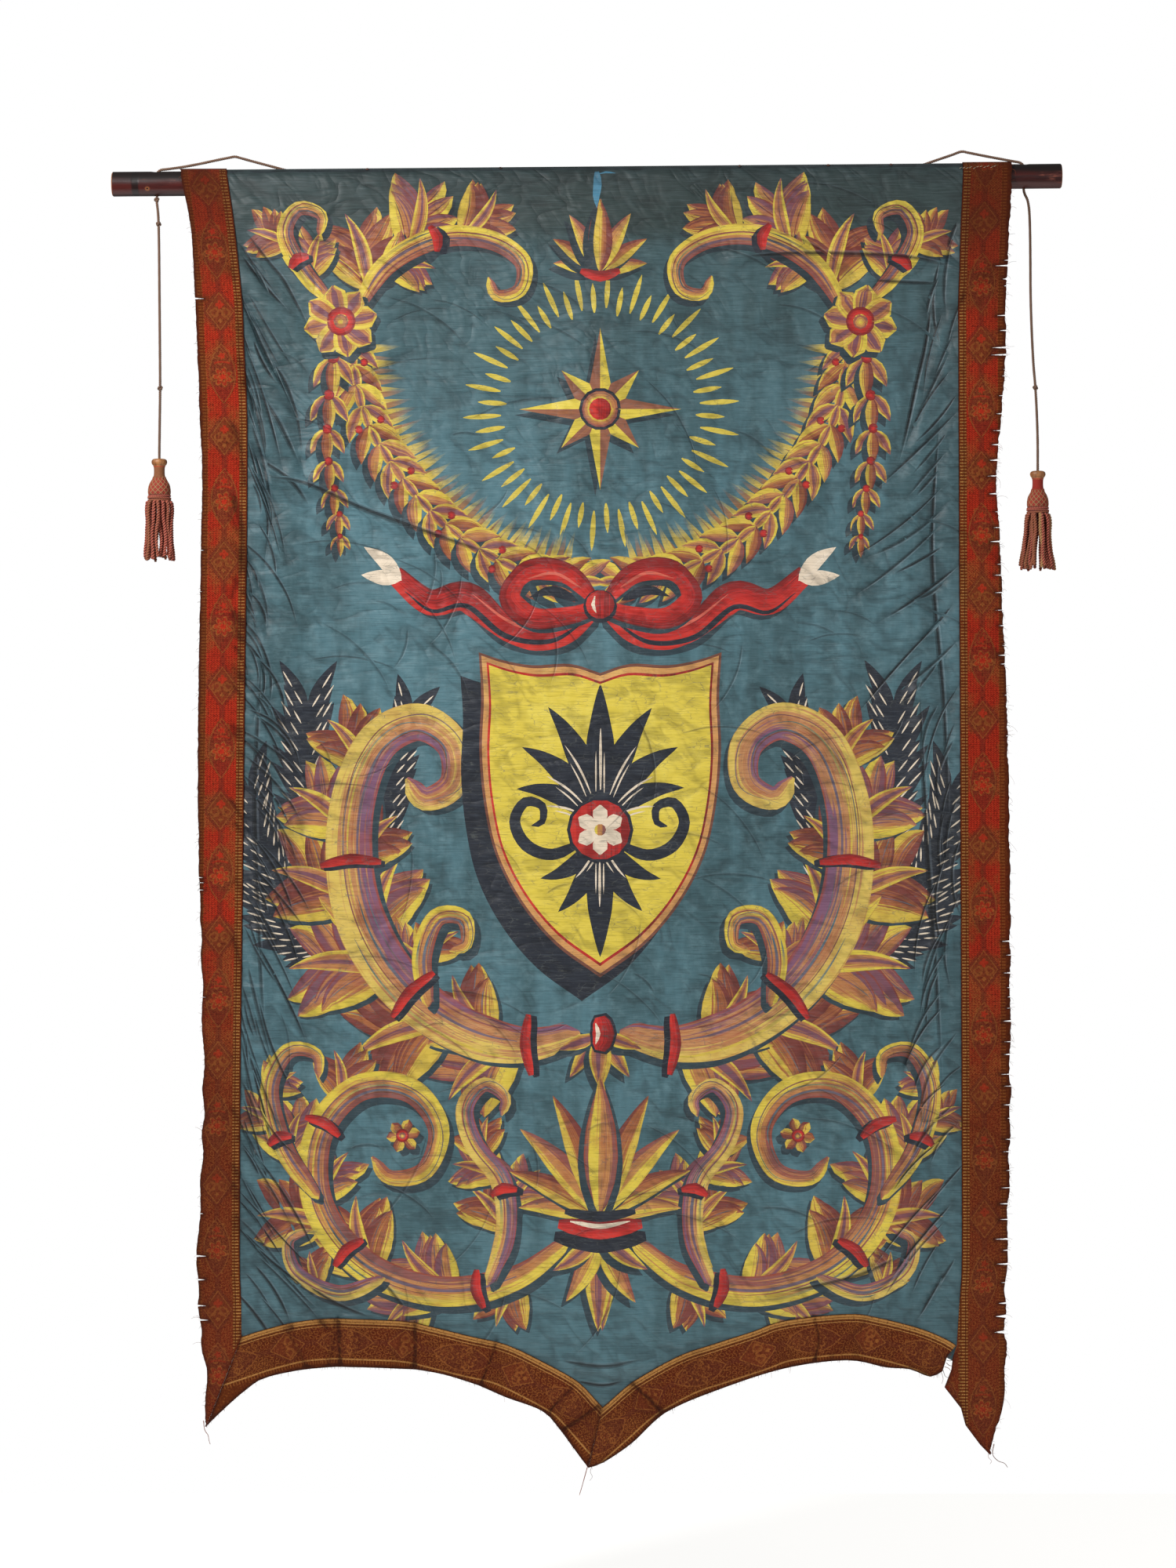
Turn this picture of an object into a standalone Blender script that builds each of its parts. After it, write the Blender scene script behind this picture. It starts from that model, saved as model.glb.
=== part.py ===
"""A painted cloth banner with a woven ribbon border, hung from a round wooden pole by two tasselled cords.

Metres, +Z up, the painted side faces -Y. The origin is halfway between the two wall nails that carry the
cords. The cloth is laid out flat first, as a maker's pattern: across is X, and drop runs down from the
origin. One net of triangles covers the whole pattern, and each cut piece takes the triangles inside its own
outline, so pieces that lap keep an even gap. The pattern is then laid over the pole and hung, with its folds.
"""

import math
from collections import namedtuple

import bmesh
import bpy
import numpy as np
from mathutils import Matrix, Vector
from mathutils.geometry import delaunay_2d_cdt

MM = 0.001
GAP = 0.4 * MM  # air between pieces that touch

# Pole
POLE_RADIUS = 19 * MM
POLE_LENGTH = 1458 * MM
POLE_LEFT_END = (-746.4 * MM, -48.2 * MM)  # across, and height of the axis
POLE_RISE = 12.6 * MM  # the right end hangs higher
POLE_SIDES = 24
POLE_CHAMFER = 1.5 * MM

# Cords, and the holes that they run through
CORD_RADIUS = 2.25 * MM
CORD_STEP = 12 * MM
HOLE_ACROSS = {"left": -678 * MM, "right": 654 * MM}
HOLE_RADIUS = 3.3 * MM
HOLE_MOUTH_RADIUS = 9.5 * MM  # worn wide on top
HOLE_MOUTH_DEPTH = 6 * MM
KNOT_RADIUS = 4.3 * MM

# Cloth
CLOTH = 1.2 * MM
PANEL_STAND = 0.7 * MM  # back of the panel off the pole, with room for the flats of its net
RIBBON_STAND = PANEL_STAND + CLOTH + GAP
LAP = 28 * MM  # how far the panel runs under the ribbons
WRAP_ANGLE = math.radians(80)  # how far round the pole's front the cloth's top edge lies
WRAP_STEPS = 4
WRAP_RADIUS = POLE_RADIUS + RIBBON_STAND
WRAP = WRAP_ANGLE * WRAP_RADIUS
EDGE_STEP = 45 * MM  # spacing of points along an outline
FOLD_STEP = 50 * MM  # the same along a fold
FOLD_LINES = (-2, -0.9, 0, 0.9, 2)  # lines of the net along a fold, in widths from its crest
NET_STEP = 66 * MM  # spacing of points in the plain cloth
NET_CLEAR = 24 * MM  # none of those lies closer than this to an outline or a fold
MITRE_GAP = 0.25 * MM  # each side of a mitre gives up this much
FOLD_EASE = (10 * MM, 70 * MM)  # below the pole's front, folds start and reach full height

# The four long edges of the side ribbons, in millimetres: how far down, and how far across
RibbonEdges = namedtuple("RibbonEdges", "drop left_outer left_inner right_inner right_outer")
TOP_CORNERS = RibbonEdges(None, -642, -570.5, 559.2, 634)
RIBBON_EDGES = [
    RibbonEdges(45, -638, -567, 558, 633.6),
    RibbonEdges(118, -624, -556.5, 555, 630),
    RibbonEdges(226, -617, -545, 551.3, 624),
    RibbonEdges(300, -614, -541.6, 551.3, 625),
    RibbonEdges(400, -610, -537, 551.5, 618),
    RibbonEdges(505, -606, -536.8, 552, 609.6),
    RibbonEdges(610, -608, -537.6, 552.4, 615.6),
    RibbonEdges(970, -613, -542, 553.8, 629),
    RibbonEdges(1450, -606, -547.7, 555.6, 632.4),
    RibbonEdges(1690, -615.5, -548.7, 556.4, 627.6),
    RibbonEdges(1750, -613.5, -547, 554, 624),
]
Spot = namedtuple("Spot", "across drop")
LEFT_CORNER = Spot(-546, 1816)
RIGHT_CORNER = Spot(549, 1829)
LEFT_TAIL_OUTER = [Spot(-609.6, 1816), Spot(-602, 1869), Spot(-602, 1919), Spot(-601.5, 1953)]
LEFT_THREAD = [Spot(-595, 1980.5), Spot(-593.5, 1980)]
LEFT_TIP = Spot(-599.5, 1953)
RIGHT_TAIL_OUTER = [Spot(626, 1834), Spot(624, 1894), Spot(613, 1950), Spot(602, 1994)]
RIGHT_THREAD = [Spot(628, 2015.5), Spot(627, 2017)]
RIGHT_TAIL_INNER = [
    Spot(600, 1997), Spot(584.4, 1981), Spot(562, 1951), Spot(555, 1925), Spot(530, 1893),
    Spot(540.5, 1866), Spot(542.5, 1848),
]
MIDDLE_THREAD = [Spot(-29.5, 2059.4), Spot(-28, 2059.6)]

# The two bottom ribbons, from left to right, in millimetres: their upper edge and their lower edge
BandEdges = namedtuple("BandEdges", "top_across top_drop low_across low_drop")
LEFT_BAND = [
    BandEdges(-546, 1816, -599.5, 1953),
    BandEdges(-514, 1806, -582, 1935),
    BandEdges(-463, 1794, -539, 1897),
    BandEdges(-413, 1789.5, -503, 1877),
    BandEdges(-337, 1790.5, -413, 1864),
    BandEdges(-286, 1794, -278, 1867),
    BandEdges(-196, 1815, -196, 1885.5),
    BandEdges(-140, 1828, -140, 1909),
    BandEdges(-85, 1854, -85, 1930),
    BandEdges(-30, 1885.5, -57.5, 1960),
    BandEdges(6.8, 1924, -17, 2014),
]
RIGHT_BAND = [
    BandEdges(6.8, 1924, -15, 2016),
    BandEdges(52.3, 1885.5, 8.4, 2008),
    BandEdges(121, 1847, 52.3, 1978),
    BandEdges(176.4, 1828, 102, 1933.5),
    BandEdges(236.4, 1808.5, 176.4, 1900.5),
    BandEdges(284.4, 1792, 284.4, 1865.5),
    BandEdges(380.4, 1781, 380.4, 1851.5),
    BandEdges(427, 1786, 440.4, 1862.5),
    BandEdges(492.6, 1803, 476.4, 1865.5),
    BandEdges(531.6, 1819, 508, 1877),
    BandEdges(548, 1829, 527, 1868.5),
]
BAND_END_TEAR = [Spot(534, 1846)]  # the right band's end is torn back from its corner

# Slits in the outer edges of the side ribbons, in millimetres
Slit = namedtuple("Slit", "drop depth width")
LEFT_SLITS = [
    Slit(227, 15, 2.5), Slit(1692, 16, 3), Slit(1728, 12, 2.5), Slit(1768, 14, 2.5), Slit(1790, 14, 2.5),
]
RIGHT_SLITS = [
    Slit(177, 20, 2.5), Slit(196, 24, 2.5), Slit(302, 22, 3), Slit(313, 24, 3), Slit(474, 13, 3),
    Slit(1666, 20, 3), Slit(1704, 18, 3), Slit(1764, 12, 3), Slit(1784, 16, 5), Slit(1808, 16, 5),
]

# Soft ridges (height over 0) and troughs in the hanging cloth, in millimetres
Fold = namedtuple("Fold", "height width line")
FOLDS = [
    Fold(4.5, 11, [(206, 164), (300, 157), (404, 158), (480, 163), (535, 176), (580, 196)]),
    Fold(2.5, 9, [(419, 198), (475, 201), (533, 203)]),
    Fold(-3, 11, [(551, 108), (542, 130), (535, 154)]),
    Fold(-4, 13, [(512, 226), (502, 298), (488, 358), (474, 424), (458, 490)]),
    Fold(-4.5, 13, [(-539, 124), (-503, 171), (-482, 197), (-458, 241), (-438, 281)]),
    Fold(-4, 12, [(-541, 232), (-511, 310), (-482, 348), (-460, 412), (-451, 493)]),
    Fold(-3, 12, [(-535, 354), (-494, 406), (-454, 487)]),
    Fold(-3.5, 12, [(-518, 471), (-470, 505), (-439, 549)]),
    Fold(4.5, 14, [(-521, 498), (-450, 508), (-355, 549), (-194, 607), (-114, 634)]),
    Fold(-5, 15, [(-534, 1649), (-488, 1713), (-452, 1756), (-418, 1786)]),
    Fold(-3.5, 13, [(-448, 1738), (-397, 1768), (-342, 1790)]),
    Fold(-3.5, 12, [(-326, 1735), (-294, 1775)]),
    Fold(-4, 15, [(284, 1750), (404, 1720), (488, 1678)]),
    Fold(3.5, 12, [(-58, 1852), (8, 1860), (74, 1849)]),
    Fold(-3, 10, [(-34, 1884), (8, 1890), (44, 1882)]),
    Fold(-4.5, 16, [(524, 394), (512, 610), (530, 850), (539, 1090)]),
    Fold(4, 17, [(492, 820), (503, 1050), (516, 1240), (528, 1460)]),
    Fold(4.5, 17, [(-514, 760), (-524, 980), (-519, 1180), (-508, 1420)]),
    Fold(-4, 12, [(-394, 1788), (-402, 1830), (-400, 1864)]),
    Fold(-4, 12, [(-280, 1796), (-284, 1830), (-282, 1867)]),
    Fold(-4, 12, [(4, 1926), (-24, 1944), (-50, 1958)]),
    Fold(-3.5, 12, [(52, 1888), (74, 1910), (98, 1932)]),
]

# Long swells of the whole cloth, in millimetres: its waves run across, and lean as they go down
Swell = namedtuple("Swell", "height wavelength lean phase")
SWELLS = [Swell(3.2, 610, 0.10, 0.6), Swell(1.8, 330, -0.22, 2.1), Swell(1.1, 190, 0.35, 4.0)]

# Tacks through the hem: how far across, in millimetres
TACKS = [-354, -150, 217, 353, 449]
TACK_ANGLE = math.radians(58)
TACK_PROFILE = [(0, 1.5), (1.6, 1.2), (2.7, 0.5), (2.9, 0), (0, 0)]  # radius and height, in millimetres

# Cord routes, in millimetres, from the hidden knot over the nail and down to the tassel
CordPoint = namedtuple("CordPoint", "x y z")
LEFT_ROUTE = [
    CordPoint(-445.4, 20.1, -32.7), CordPoint(-470, 18.6, -26.6), CordPoint(-500, 16.6, -18.9),
    CordPoint(-530, 14.4, -11.2), CordPoint(-550, 12.8, -5.9), CordPoint(-559.2, 12, -3.8),
    CordPoint(-569, 11.1, -5.6), CordPoint(-590, 9.2, -10.2), CordPoint(-611, 6.9, -15.2),
    CordPoint(-637, 4.3, -20.6), CordPoint(-655, 2.2, -23.6), CordPoint(-664, 1.1, -25),
    CordPoint(-670.8, 0.4, -25.9), CordPoint(-675.4, 0.1, -28.3), CordPoint(-677.5, 0, -31.6),
    CordPoint(-678, 0, -35.5), CordPoint(-678, 0, -50), CordPoint(-678, 0, -67),
    CordPoint(-678.4, 0, -74), CordPoint(-676.6, 0, -90), CordPoint(-675.6, 0, -108),
    CordPoint(-674.8, 0, -150), CordPoint(-674.2, 0, -220), CordPoint(-673.6, 0, -290),
    CordPoint(-673.2, 0, -361.4), CordPoint(-673.9, 0, -420), CordPoint(-674.4, 0, -462),
    CordPoint(-674.4, 0, -500), CordPoint(-674.4, 0, -545),
]
RIGHT_ROUTE = [
    CordPoint(474.3, 20, -24.4), CordPoint(495, 18.1, -17.4), CordPoint(520, 15.8, -9),
    CordPoint(545, 13.4, -0.8), CordPoint(559.2, 12, 4), CordPoint(570, 10.8, 2.2),
    CordPoint(590, 8.3, -2.3), CordPoint(610, 5.8, -6.6), CordPoint(630, 3.2, -10.8),
    CordPoint(640, 1.9, -12.9), CordPoint(646.8, 0.8, -14.3), CordPoint(651.4, 0.2, -16.8),
    CordPoint(653.5, 0, -20.1), CordPoint(654, 0, -24), CordPoint(654, 0, -40),
    CordPoint(654, 0, -56), CordPoint(656, 0, -64), CordPoint(660, 0, -73),
    CordPoint(662.6, 0, -90), CordPoint(663.8, 0, -123), CordPoint(664.3, 0, -166),
    CordPoint(664.6, 0, -214), CordPoint(666, 0, -265), CordPoint(668.8, 0, -322),
    CordPoint(671.9, 0, -359.6), CordPoint(674.1, 0, -400), CordPoint(675.4, 0, -440),
    CordPoint(675.6, 0, -480), CordPoint(675.6, 0, -520), CordPoint(675.6, 0, -563.6),
]
# Knots tied in the cords: name, side, and height in millimetres
Knot = namedtuple("Knot", "name side height")
KNOTS = [
    Knot("knot_left_stop", "left", -71.6),
    Knot("knot_left_upper", "left", -108),
    Knot("knot_left_lower", "left", -361.4),
    Knot("knot_right_lower", "right", -359.6),
]
END_KNOT_ACROSS = {"left": -441, "right": 470}
END_KNOT_ANGLE = math.radians(150)  # behind the pole's top, out of sight

# Tassels, in millimetres: the top of the cap, and the skirt's ends
Tassel = namedtuple("Tassel", "side top cap_radius bell_radius collar_radius skirt_radius hem_radius hem_drop")
TASSELS = [
    Tassel("left", -470, 12, 17.2, 18, 22, 25, 158),
    Tassel("right", -488.6, 11.9, 16.4, 17.2, 18, 31, 153.5),
]
TASSEL_SIDES = 14
TASSEL_HEAD = 66.6
SKIRT_RING = 5  # height of the ring that the strands grow from
SKIRT_ROWS = [(16, 1), (8, 2)]  # outer radius less this, and every how many sides a strand grows
STRAND_STEPS = 4

# Colour, roughness and metallic value of each material
FINISHES = {
    "painted_cloth": ((0.07, 0.15, 0.17, 1), 0.6, 0),
    "galloon": ((0.2, 0.04, 0.015, 1), 0.75, 0),
    "pole_wood": ((0.045, 0.012, 0.01, 1), 0.3, 0),
    "tack_iron": ((0.06, 0.04, 0.03, 1), 0.6, 0.8),
    "cord_twine": ((0.16, 0.07, 0.05, 1), 0.8, 0),
    "tassel_wood": ((0.4, 0.15, 0.06, 1), 0.5, 0),
    "tassel_yarn": ((0.35, 0.1, 0.08, 1), 0.7, 0),
}


def finish(name):
    """The named material, made once."""
    found = bpy.data.materials.get(name)
    if found:
        return found
    colour, roughness, metallic = FINISHES[name]
    made = bpy.data.materials.new(name)
    made.use_nodes = True
    shader = made.node_tree.nodes["Principled BSDF"]
    shader.inputs["Base Color"].default_value = colour
    shader.inputs["Roughness"].default_value = roughness
    shader.inputs["Metallic"].default_value = metallic
    made.diffuse_color = colour
    return made


def node(name, mesh, material):
    """Adds an object with this mesh or curve to the scene."""
    made = bpy.data.objects.new(name, mesh)
    made.data.materials.append(finish(material))
    bpy.context.scene.collection.objects.link(made)
    return made


def shaded(bm, name, sharp=math.radians(40)):
    """A mesh from bm, its faces turned outward and shaded smooth but for its sharp edges."""
    bmesh.ops.recalc_face_normals(bm, faces=bm.faces)
    mesh = bpy.data.meshes.new(name)
    bm.to_mesh(mesh)
    bm.free()
    mesh.shade_smooth()
    mesh.set_sharp_from_angle(angle=sharp)
    return mesh


def smooth_line(points, step):
    """Points about a step apart on a smooth curve through the given ones."""
    knots = [Vector(p) for p in points]
    padded = [2 * knots[0] - knots[1]] + knots + [2 * knots[-1] - knots[-2]]
    line = []
    for a, b, c, d in zip(padded, padded[1:], padded[2:], padded[3:]):
        count = max(1, round((c - b).length / step))
        for i in range(count):
            t = i / count
            line.append(
                0.5 * (2 * b + (c - a) * t + (2 * a - 5 * b + 4 * c - d) * t**2 + (3 * b - a - 3 * c + d) * t**3)
            )
    return line + [knots[-1]]


def even_line(points, step):
    """The same curve with its points an even step apart."""
    fine = np.array([tuple(p) for p in smooth_line(points, step / 8)])
    run = np.concatenate([[0], np.cumsum(np.linalg.norm(np.diff(fine, axis=0), axis=1))])
    stops = np.linspace(0, run[-1], round(run[-1] / step) + 1)
    return [Vector([np.interp(s, run, axis) for axis in fine.T]) for s in stops]


def pole_height(across):
    """Height of the pole's axis."""
    return POLE_LEFT_END[1] + (across - POLE_LEFT_END[0]) * POLE_RISE / POLE_LENGTH


def eased(share):
    """A soft step from 0 to 1."""
    share = np.clip(share, 0, 1)
    return share * share * (3 - 2 * share)


def line_distance(points, line):
    """How far each point lies from a line of points."""
    nearest = np.full(len(points), np.inf)
    for a, b in zip(line, line[1:]):
        along = np.clip((points - a) @ (b - a) / ((b - a) @ (b - a)), 0, 1)
        nearest = np.minimum(nearest, np.linalg.norm(points - a - along[:, None] * (b - a), axis=1))
    return nearest


def relief(points):
    """How far the hanging cloth stands forward at each (across, drop)."""
    forward = np.zeros(len(points))
    for swell in SWELLS:
        waves = (points[:, 0] + swell.lean * points[:, 1]) / (swell.wavelength * MM)
        forward += swell.height * MM * np.sin(2 * math.pi * waves + swell.phase)
    for fold in FOLDS:
        line = [np.array(p) for p in smooth_line([(x * MM, d * MM) for x, d in fold.line], 10 * MM)]
        forward += fold.height * MM * np.exp(-((line_distance(points, line) / (fold.width * MM)) ** 2))
    below = points[:, 1] + pole_height(points[:, 0])
    return forward * eased((below - FOLD_EASE[0]) / (FOLD_EASE[1] - FOLD_EASE[0]))


def hung(points, stand):
    """Places of pattern points laid round the pole's front and hung below it."""
    across, drop = points.T
    axis = pole_height(across)
    radius = POLE_RADIUS + stand
    turn = np.maximum(-drop - axis, 0) / WRAP_RADIUS
    height = np.where(turn > 0, axis + radius * np.sin(turn), -drop)
    return np.stack([across, -radius * np.cos(turn) - relief(points), height], axis=1)


def top_drop(across):
    """Drop of the cloth's top edge in the pattern."""
    return -pole_height(across) - WRAP


def edge(column):
    """One long edge of a side ribbon in the pattern, from its top to the last row of the table."""
    across = getattr(TOP_CORNERS, column) * MM
    rows = [(getattr(row, column) * MM, row.drop * MM) for row in RIBBON_EDGES]
    return smooth_line([(across, top_drop(across))] + rows, EDGE_STEP)


def spots(points):
    """Table spots as pattern points."""
    return [Vector((p.across * MM, p.drop * MM)) for p in points]


def cut_slits(line, slits, inward):
    """The edge with its slits cut in."""
    cut = list(line)
    for slit in slits:
        after = next(i for i, p in enumerate(cut) if p.y > (slit.drop + slit.width) * MM)
        low, high = cut[after - 1], cut[after]
        share = (slit.drop * MM - low.y) / (high.y - low.y)
        mouth = low.lerp(high, share)
        half = Vector((0, slit.width * MM / 2))
        cut[after:after] = [mouth - half, mouth + Vector((inward * slit.depth * MM, 0)), mouth + half]
    return cut


def band_lines(rows):
    """The upper and lower edges of a bottom ribbon in the pattern."""
    top = smooth_line([(row.top_across * MM, row.top_drop * MM) for row in rows], EDGE_STEP)
    low = smooth_line([(row.low_across * MM, row.low_drop * MM) for row in rows], EDGE_STEP)
    return top, low


def outlines():
    """The closed outline of each cut piece in the pattern."""
    lines = {column: edge(column) for column in RibbonEdges._fields[1:]}
    left_top, left_low = band_lines(LEFT_BAND)
    right_top, right_low = band_lines(RIGHT_BAND)
    left_corner, right_corner, left_tip = spots([LEFT_CORNER, RIGHT_CORNER, LEFT_TIP])
    left_inner = lines["left_inner"] + [left_corner]
    right_inner = lines["right_inner"] + [right_corner]
    lap = Vector((LAP, 0))
    hem = [p + Vector((0, LAP)) for p in left_top + right_top[1:]]
    panel = [p - lap for p in left_inner] + hem + [p + lap for p in reversed(right_inner)]
    left_outer = cut_slits(lines["left_outer"] + spots(LEFT_TAIL_OUTER), LEFT_SLITS, 1)
    right_outer = cut_slits(lines["right_outer"] + spots(RIGHT_TAIL_OUTER), RIGHT_SLITS, -1)
    return {
        "panel": panel,
        "ribbon_left": left_outer + spots(LEFT_THREAD) + [left_tip] + left_inner[::-1],
        "ribbon_right": right_outer + spots(RIGHT_THREAD) + spots(RIGHT_TAIL_INNER) + right_inner[::-1],
        "band_left": left_low + spots(MIDDLE_THREAD) + [right_low[0]] + left_top[::-1],
        "band_right": right_low + spots(BAND_END_TEAR) + right_top[::-1],
    }


def net_lines(left, right):
    """Lines that the net has to follow: round the pole's front, and along each fold's crest, flanks and feet."""
    lines = []
    for i in range(WRAP_STEPS):
        climb = WRAP * i / WRAP_STEPS
        lines.append([Vector((x, -pole_height(x) - climb)) for x in np.linspace(left, right, 8)])
    for fold in FOLDS:
        line = smooth_line([(x * MM, d * MM) for x, d in fold.line], FOLD_STEP)
        ahead = [b - a for a, b in zip(line[:1] + line, line[1:] + line[-1:])]
        across = [Vector((-step.y, step.x)).normalized() * fold.width * MM for step in ahead]
        lines += [[p + side * share for p, side in zip(line, across)] for share in FOLD_LINES]
    return lines


def filler(taken, low, high):
    """Points for the plain cloth, in staggered rows, clear of the points that are taken."""
    taken = np.array([tuple(p) for p in taken])
    added = []
    for row, drop in enumerate(np.arange(low.y, high.y, NET_STEP * math.sqrt(3) / 2)):
        for across in np.arange(low.x + (row % 2) * NET_STEP / 2, high.x, NET_STEP):
            if np.min(np.linalg.norm(taken - (across, drop), axis=1)) > NET_CLEAR:
                added.append(Vector((across, drop)))
    return added


def turns_left(outline):
    """Whether a closed outline runs anticlockwise in the pattern."""
    return sum(a.x * b.y - b.x * a.y for a, b in zip(outline, outline[1:] + outline[:1])) > 0


def cloth_net(pieces):
    """Points and triangles over the whole pattern, and the pieces that each triangle belongs to."""
    points, edges, faces = [], [], []
    for outline in pieces.values():
        face = list(range(len(points), len(points) + len(outline)))
        faces.append(face if turns_left(outline) else face[::-1])
        points += outline
    low = Vector((min(p.x for p in points), min(p.y for p in points)))
    high = Vector((max(p.x for p in points), max(p.y for p in points)))
    for line in net_lines(low.x, high.x):
        edges += [(i, i + 1) for i in range(len(points), len(points) + len(line) - 1)]
        points += line
    points += filler(points, low, high)
    found = delaunay_2d_cdt(points, edges, faces, 0, 1e-6)
    return np.array([tuple(p) for p in found[0]]), found[2], found[5]


def mitre_shift(points, ends, side):
    """Moves points on a mitre back to one side, so that its two pieces part."""
    near = line_distance(points, [np.array(tuple(p)) for p in ends]) < 1e-5
    shifted = points.copy()
    shifted[near, 0] += side * MITRE_GAP
    return shifted


def sheet(name, points, triangles, stand, material):
    """A closed sheet of cloth: its front and back nets, and a rim round them."""
    used = sorted({i for t in triangles for i in t})
    place = {index: i for i, index in enumerate(used)}
    flat = points[used]
    bm = bmesh.new()
    front = [bm.verts.new(p) for p in hung(flat, stand + CLOTH)]
    back = [bm.verts.new(p) for p in hung(flat, stand)]
    count = {}
    for triangle in triangles:
        a, b, c = (place[i] for i in triangle)
        bm.faces.new((front[a], front[b], front[c]))
        bm.faces.new((back[c], back[b], back[a]))
        for side in ((a, b), (b, c), (c, a)):
            key = tuple(sorted(side))
            count.setdefault(key, []).append(side)
    for sides in count.values():
        if len(sides) == 1:
            a, b = sides[0]
            bm.faces.new((front[b], front[a], back[a], back[b]))
    return node(name, shaded(bm, name), material)


def make_cloth():
    """The panel and the four lengths of ribbon."""
    pieces = outlines()
    points, triangles, owners = cloth_net(pieces)
    left_corner, left_tip = spots([LEFT_CORNER, LEFT_TIP])
    left_mitre = (left_corner, left_tip)
    middle_mitre = tuple(spots([Spot(*RIGHT_BAND[0][:2]), Spot(*RIGHT_BAND[0][2:])]))
    mitres = {
        "ribbon_left": [(left_mitre, -1)],
        "band_left": [(left_mitre, 1), (middle_mitre, -1)],
        "band_right": [(middle_mitre, 1)],
    }
    for number, name in enumerate(pieces):
        own = [t for t, owner in zip(triangles, owners) if number in owner]
        own_points = points
        for ends, side in mitres.get(name, []):
            own_points = mitre_shift(own_points, ends, side)
        if name == "panel":
            sheet(name, own_points, own, PANEL_STAND, "painted_cloth")
        else:
            sheet(name, own_points, own, RIBBON_STAND, "galloon")


def turned(name, profile, sides, matrix, material, wobble=0):
    """A solid turned round Z from a profile of (radius, height) in millimetres, then placed by a matrix.

    A profile with no point on the axis is a closed loop, so the solid has a hole along its axis.
    """
    bm = bmesh.new()
    rings = []
    for step, (radius, height) in enumerate(profile):
        if radius == 0:
            rings.append([bm.verts.new((0, 0, height * MM))])
            continue
        ring = []
        for i in range(sides):
            turn = 2 * math.pi * i / sides
            grown = radius * MM * (1 + wobble * math.sin(2 * turn + step))
            ring.append(bm.verts.new((grown * math.cos(turn), grown * math.sin(turn), height * MM)))
        rings.append(ring)
    closed = len(rings[0]) > 1
    for low, high in zip(rings, rings[1:] + (rings[:1] if closed else [])):
        for i in range(sides):
            corners = [low[i % len(low)], low[(i + 1) % len(low)], high[(i + 1) % len(high)], high[i % len(high)]]
            bm.faces.new(list(dict.fromkeys(corners)))
    bmesh.ops.transform(bm, matrix=matrix, verts=bm.verts)
    return node(name, shaded(bm, name), material)


def make_pole():
    """The round pole, chamfered at both sawn ends and drilled through for the cords."""
    start = Vector((POLE_LEFT_END[0], 0, POLE_LEFT_END[1]))
    tilt = math.atan2(POLE_RISE, POLE_LENGTH)
    length, radius, chamfer = POLE_LENGTH / MM, POLE_RADIUS / MM, POLE_CHAMFER / MM
    profile = [(0, 0), (radius - chamfer, 0), (radius, chamfer)]
    profile += [(radius, length * k / 4) for k in (1, 2, 3)]
    profile += [(radius, length - chamfer), (radius - chamfer, length), (0, length)]
    lie = Matrix.Rotation(math.pi / 2 - tilt, 4, "Y")
    pole = turned("pole", profile, POLE_SIDES, Matrix.Translation(start) @ lie, "pole_wood")
    hole, mouth, depth = (size / MM for size in (HOLE_RADIUS, HOLE_MOUTH_RADIUS, HOLE_MOUTH_DEPTH))
    past = 2
    top = radius + past
    drill = [(0, top), (mouth + past * (mouth - hole) / depth, top), (hole, radius - depth), (hole, -top), (0, -top)]
    for side, across in HOLE_ACROSS.items():
        centre = Matrix.Translation((across, 0, pole_height(across)))
        cutter = turned(f"drill_{side}", drill, 16, centre, "pole_wood")
        cutter.hide_render = True
        cutter.display_type = "WIRE"
        cut = pole.modifiers.new(f"hole_{side}", "BOOLEAN")
        cut.operation = "DIFFERENCE"
        cut.object = cutter


def make_tacks():
    """The domed tack heads on the hem."""
    for number, across in enumerate(TACKS, 1):
        stand = POLE_RADIUS + PANEL_STAND + CLOTH + GAP
        x = across * MM
        out = Vector((0, -math.cos(TACK_ANGLE), math.sin(TACK_ANGLE)))
        centre = Vector((x, 0, pole_height(x))) + out * stand
        matrix = Matrix.Translation(centre) @ out.to_track_quat("Z", "Y").to_matrix().to_4x4()
        turned(f"tack_{number}", TACK_PROFILE, 8, matrix, "tack_iron")


def make_cord(side, route):
    """The cord as a round tube on its route, and its points."""
    line = even_line([Vector(p) * MM for p in route], CORD_STEP)
    curve = bpy.data.curves.new(f"cord_{side}", "CURVE")
    curve.dimensions = "3D"
    curve.bevel_depth = CORD_RADIUS
    curve.bevel_resolution = 2
    curve.use_fill_caps = True
    spline = curve.splines.new("POLY")
    spline.points.add(len(line) - 1)
    for point, place in zip(spline.points, line):
        point.co = (*place, 1)
    node(f"cord_{side}", curve, "cord_twine")
    return line


def knot_profile():
    """The section of a knot round its cord, in millimetres."""
    inner = (CORD_RADIUS + GAP) / MM
    outer = KNOT_RADIUS / MM
    return [
        (inner, 2.6), (inner + 1.1, 3.1), (outer, 1.5), (outer * 0.94, 0), (outer, -1.5),
        (inner + 1.1, -3.1), (inner, -2.6),
    ]


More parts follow.
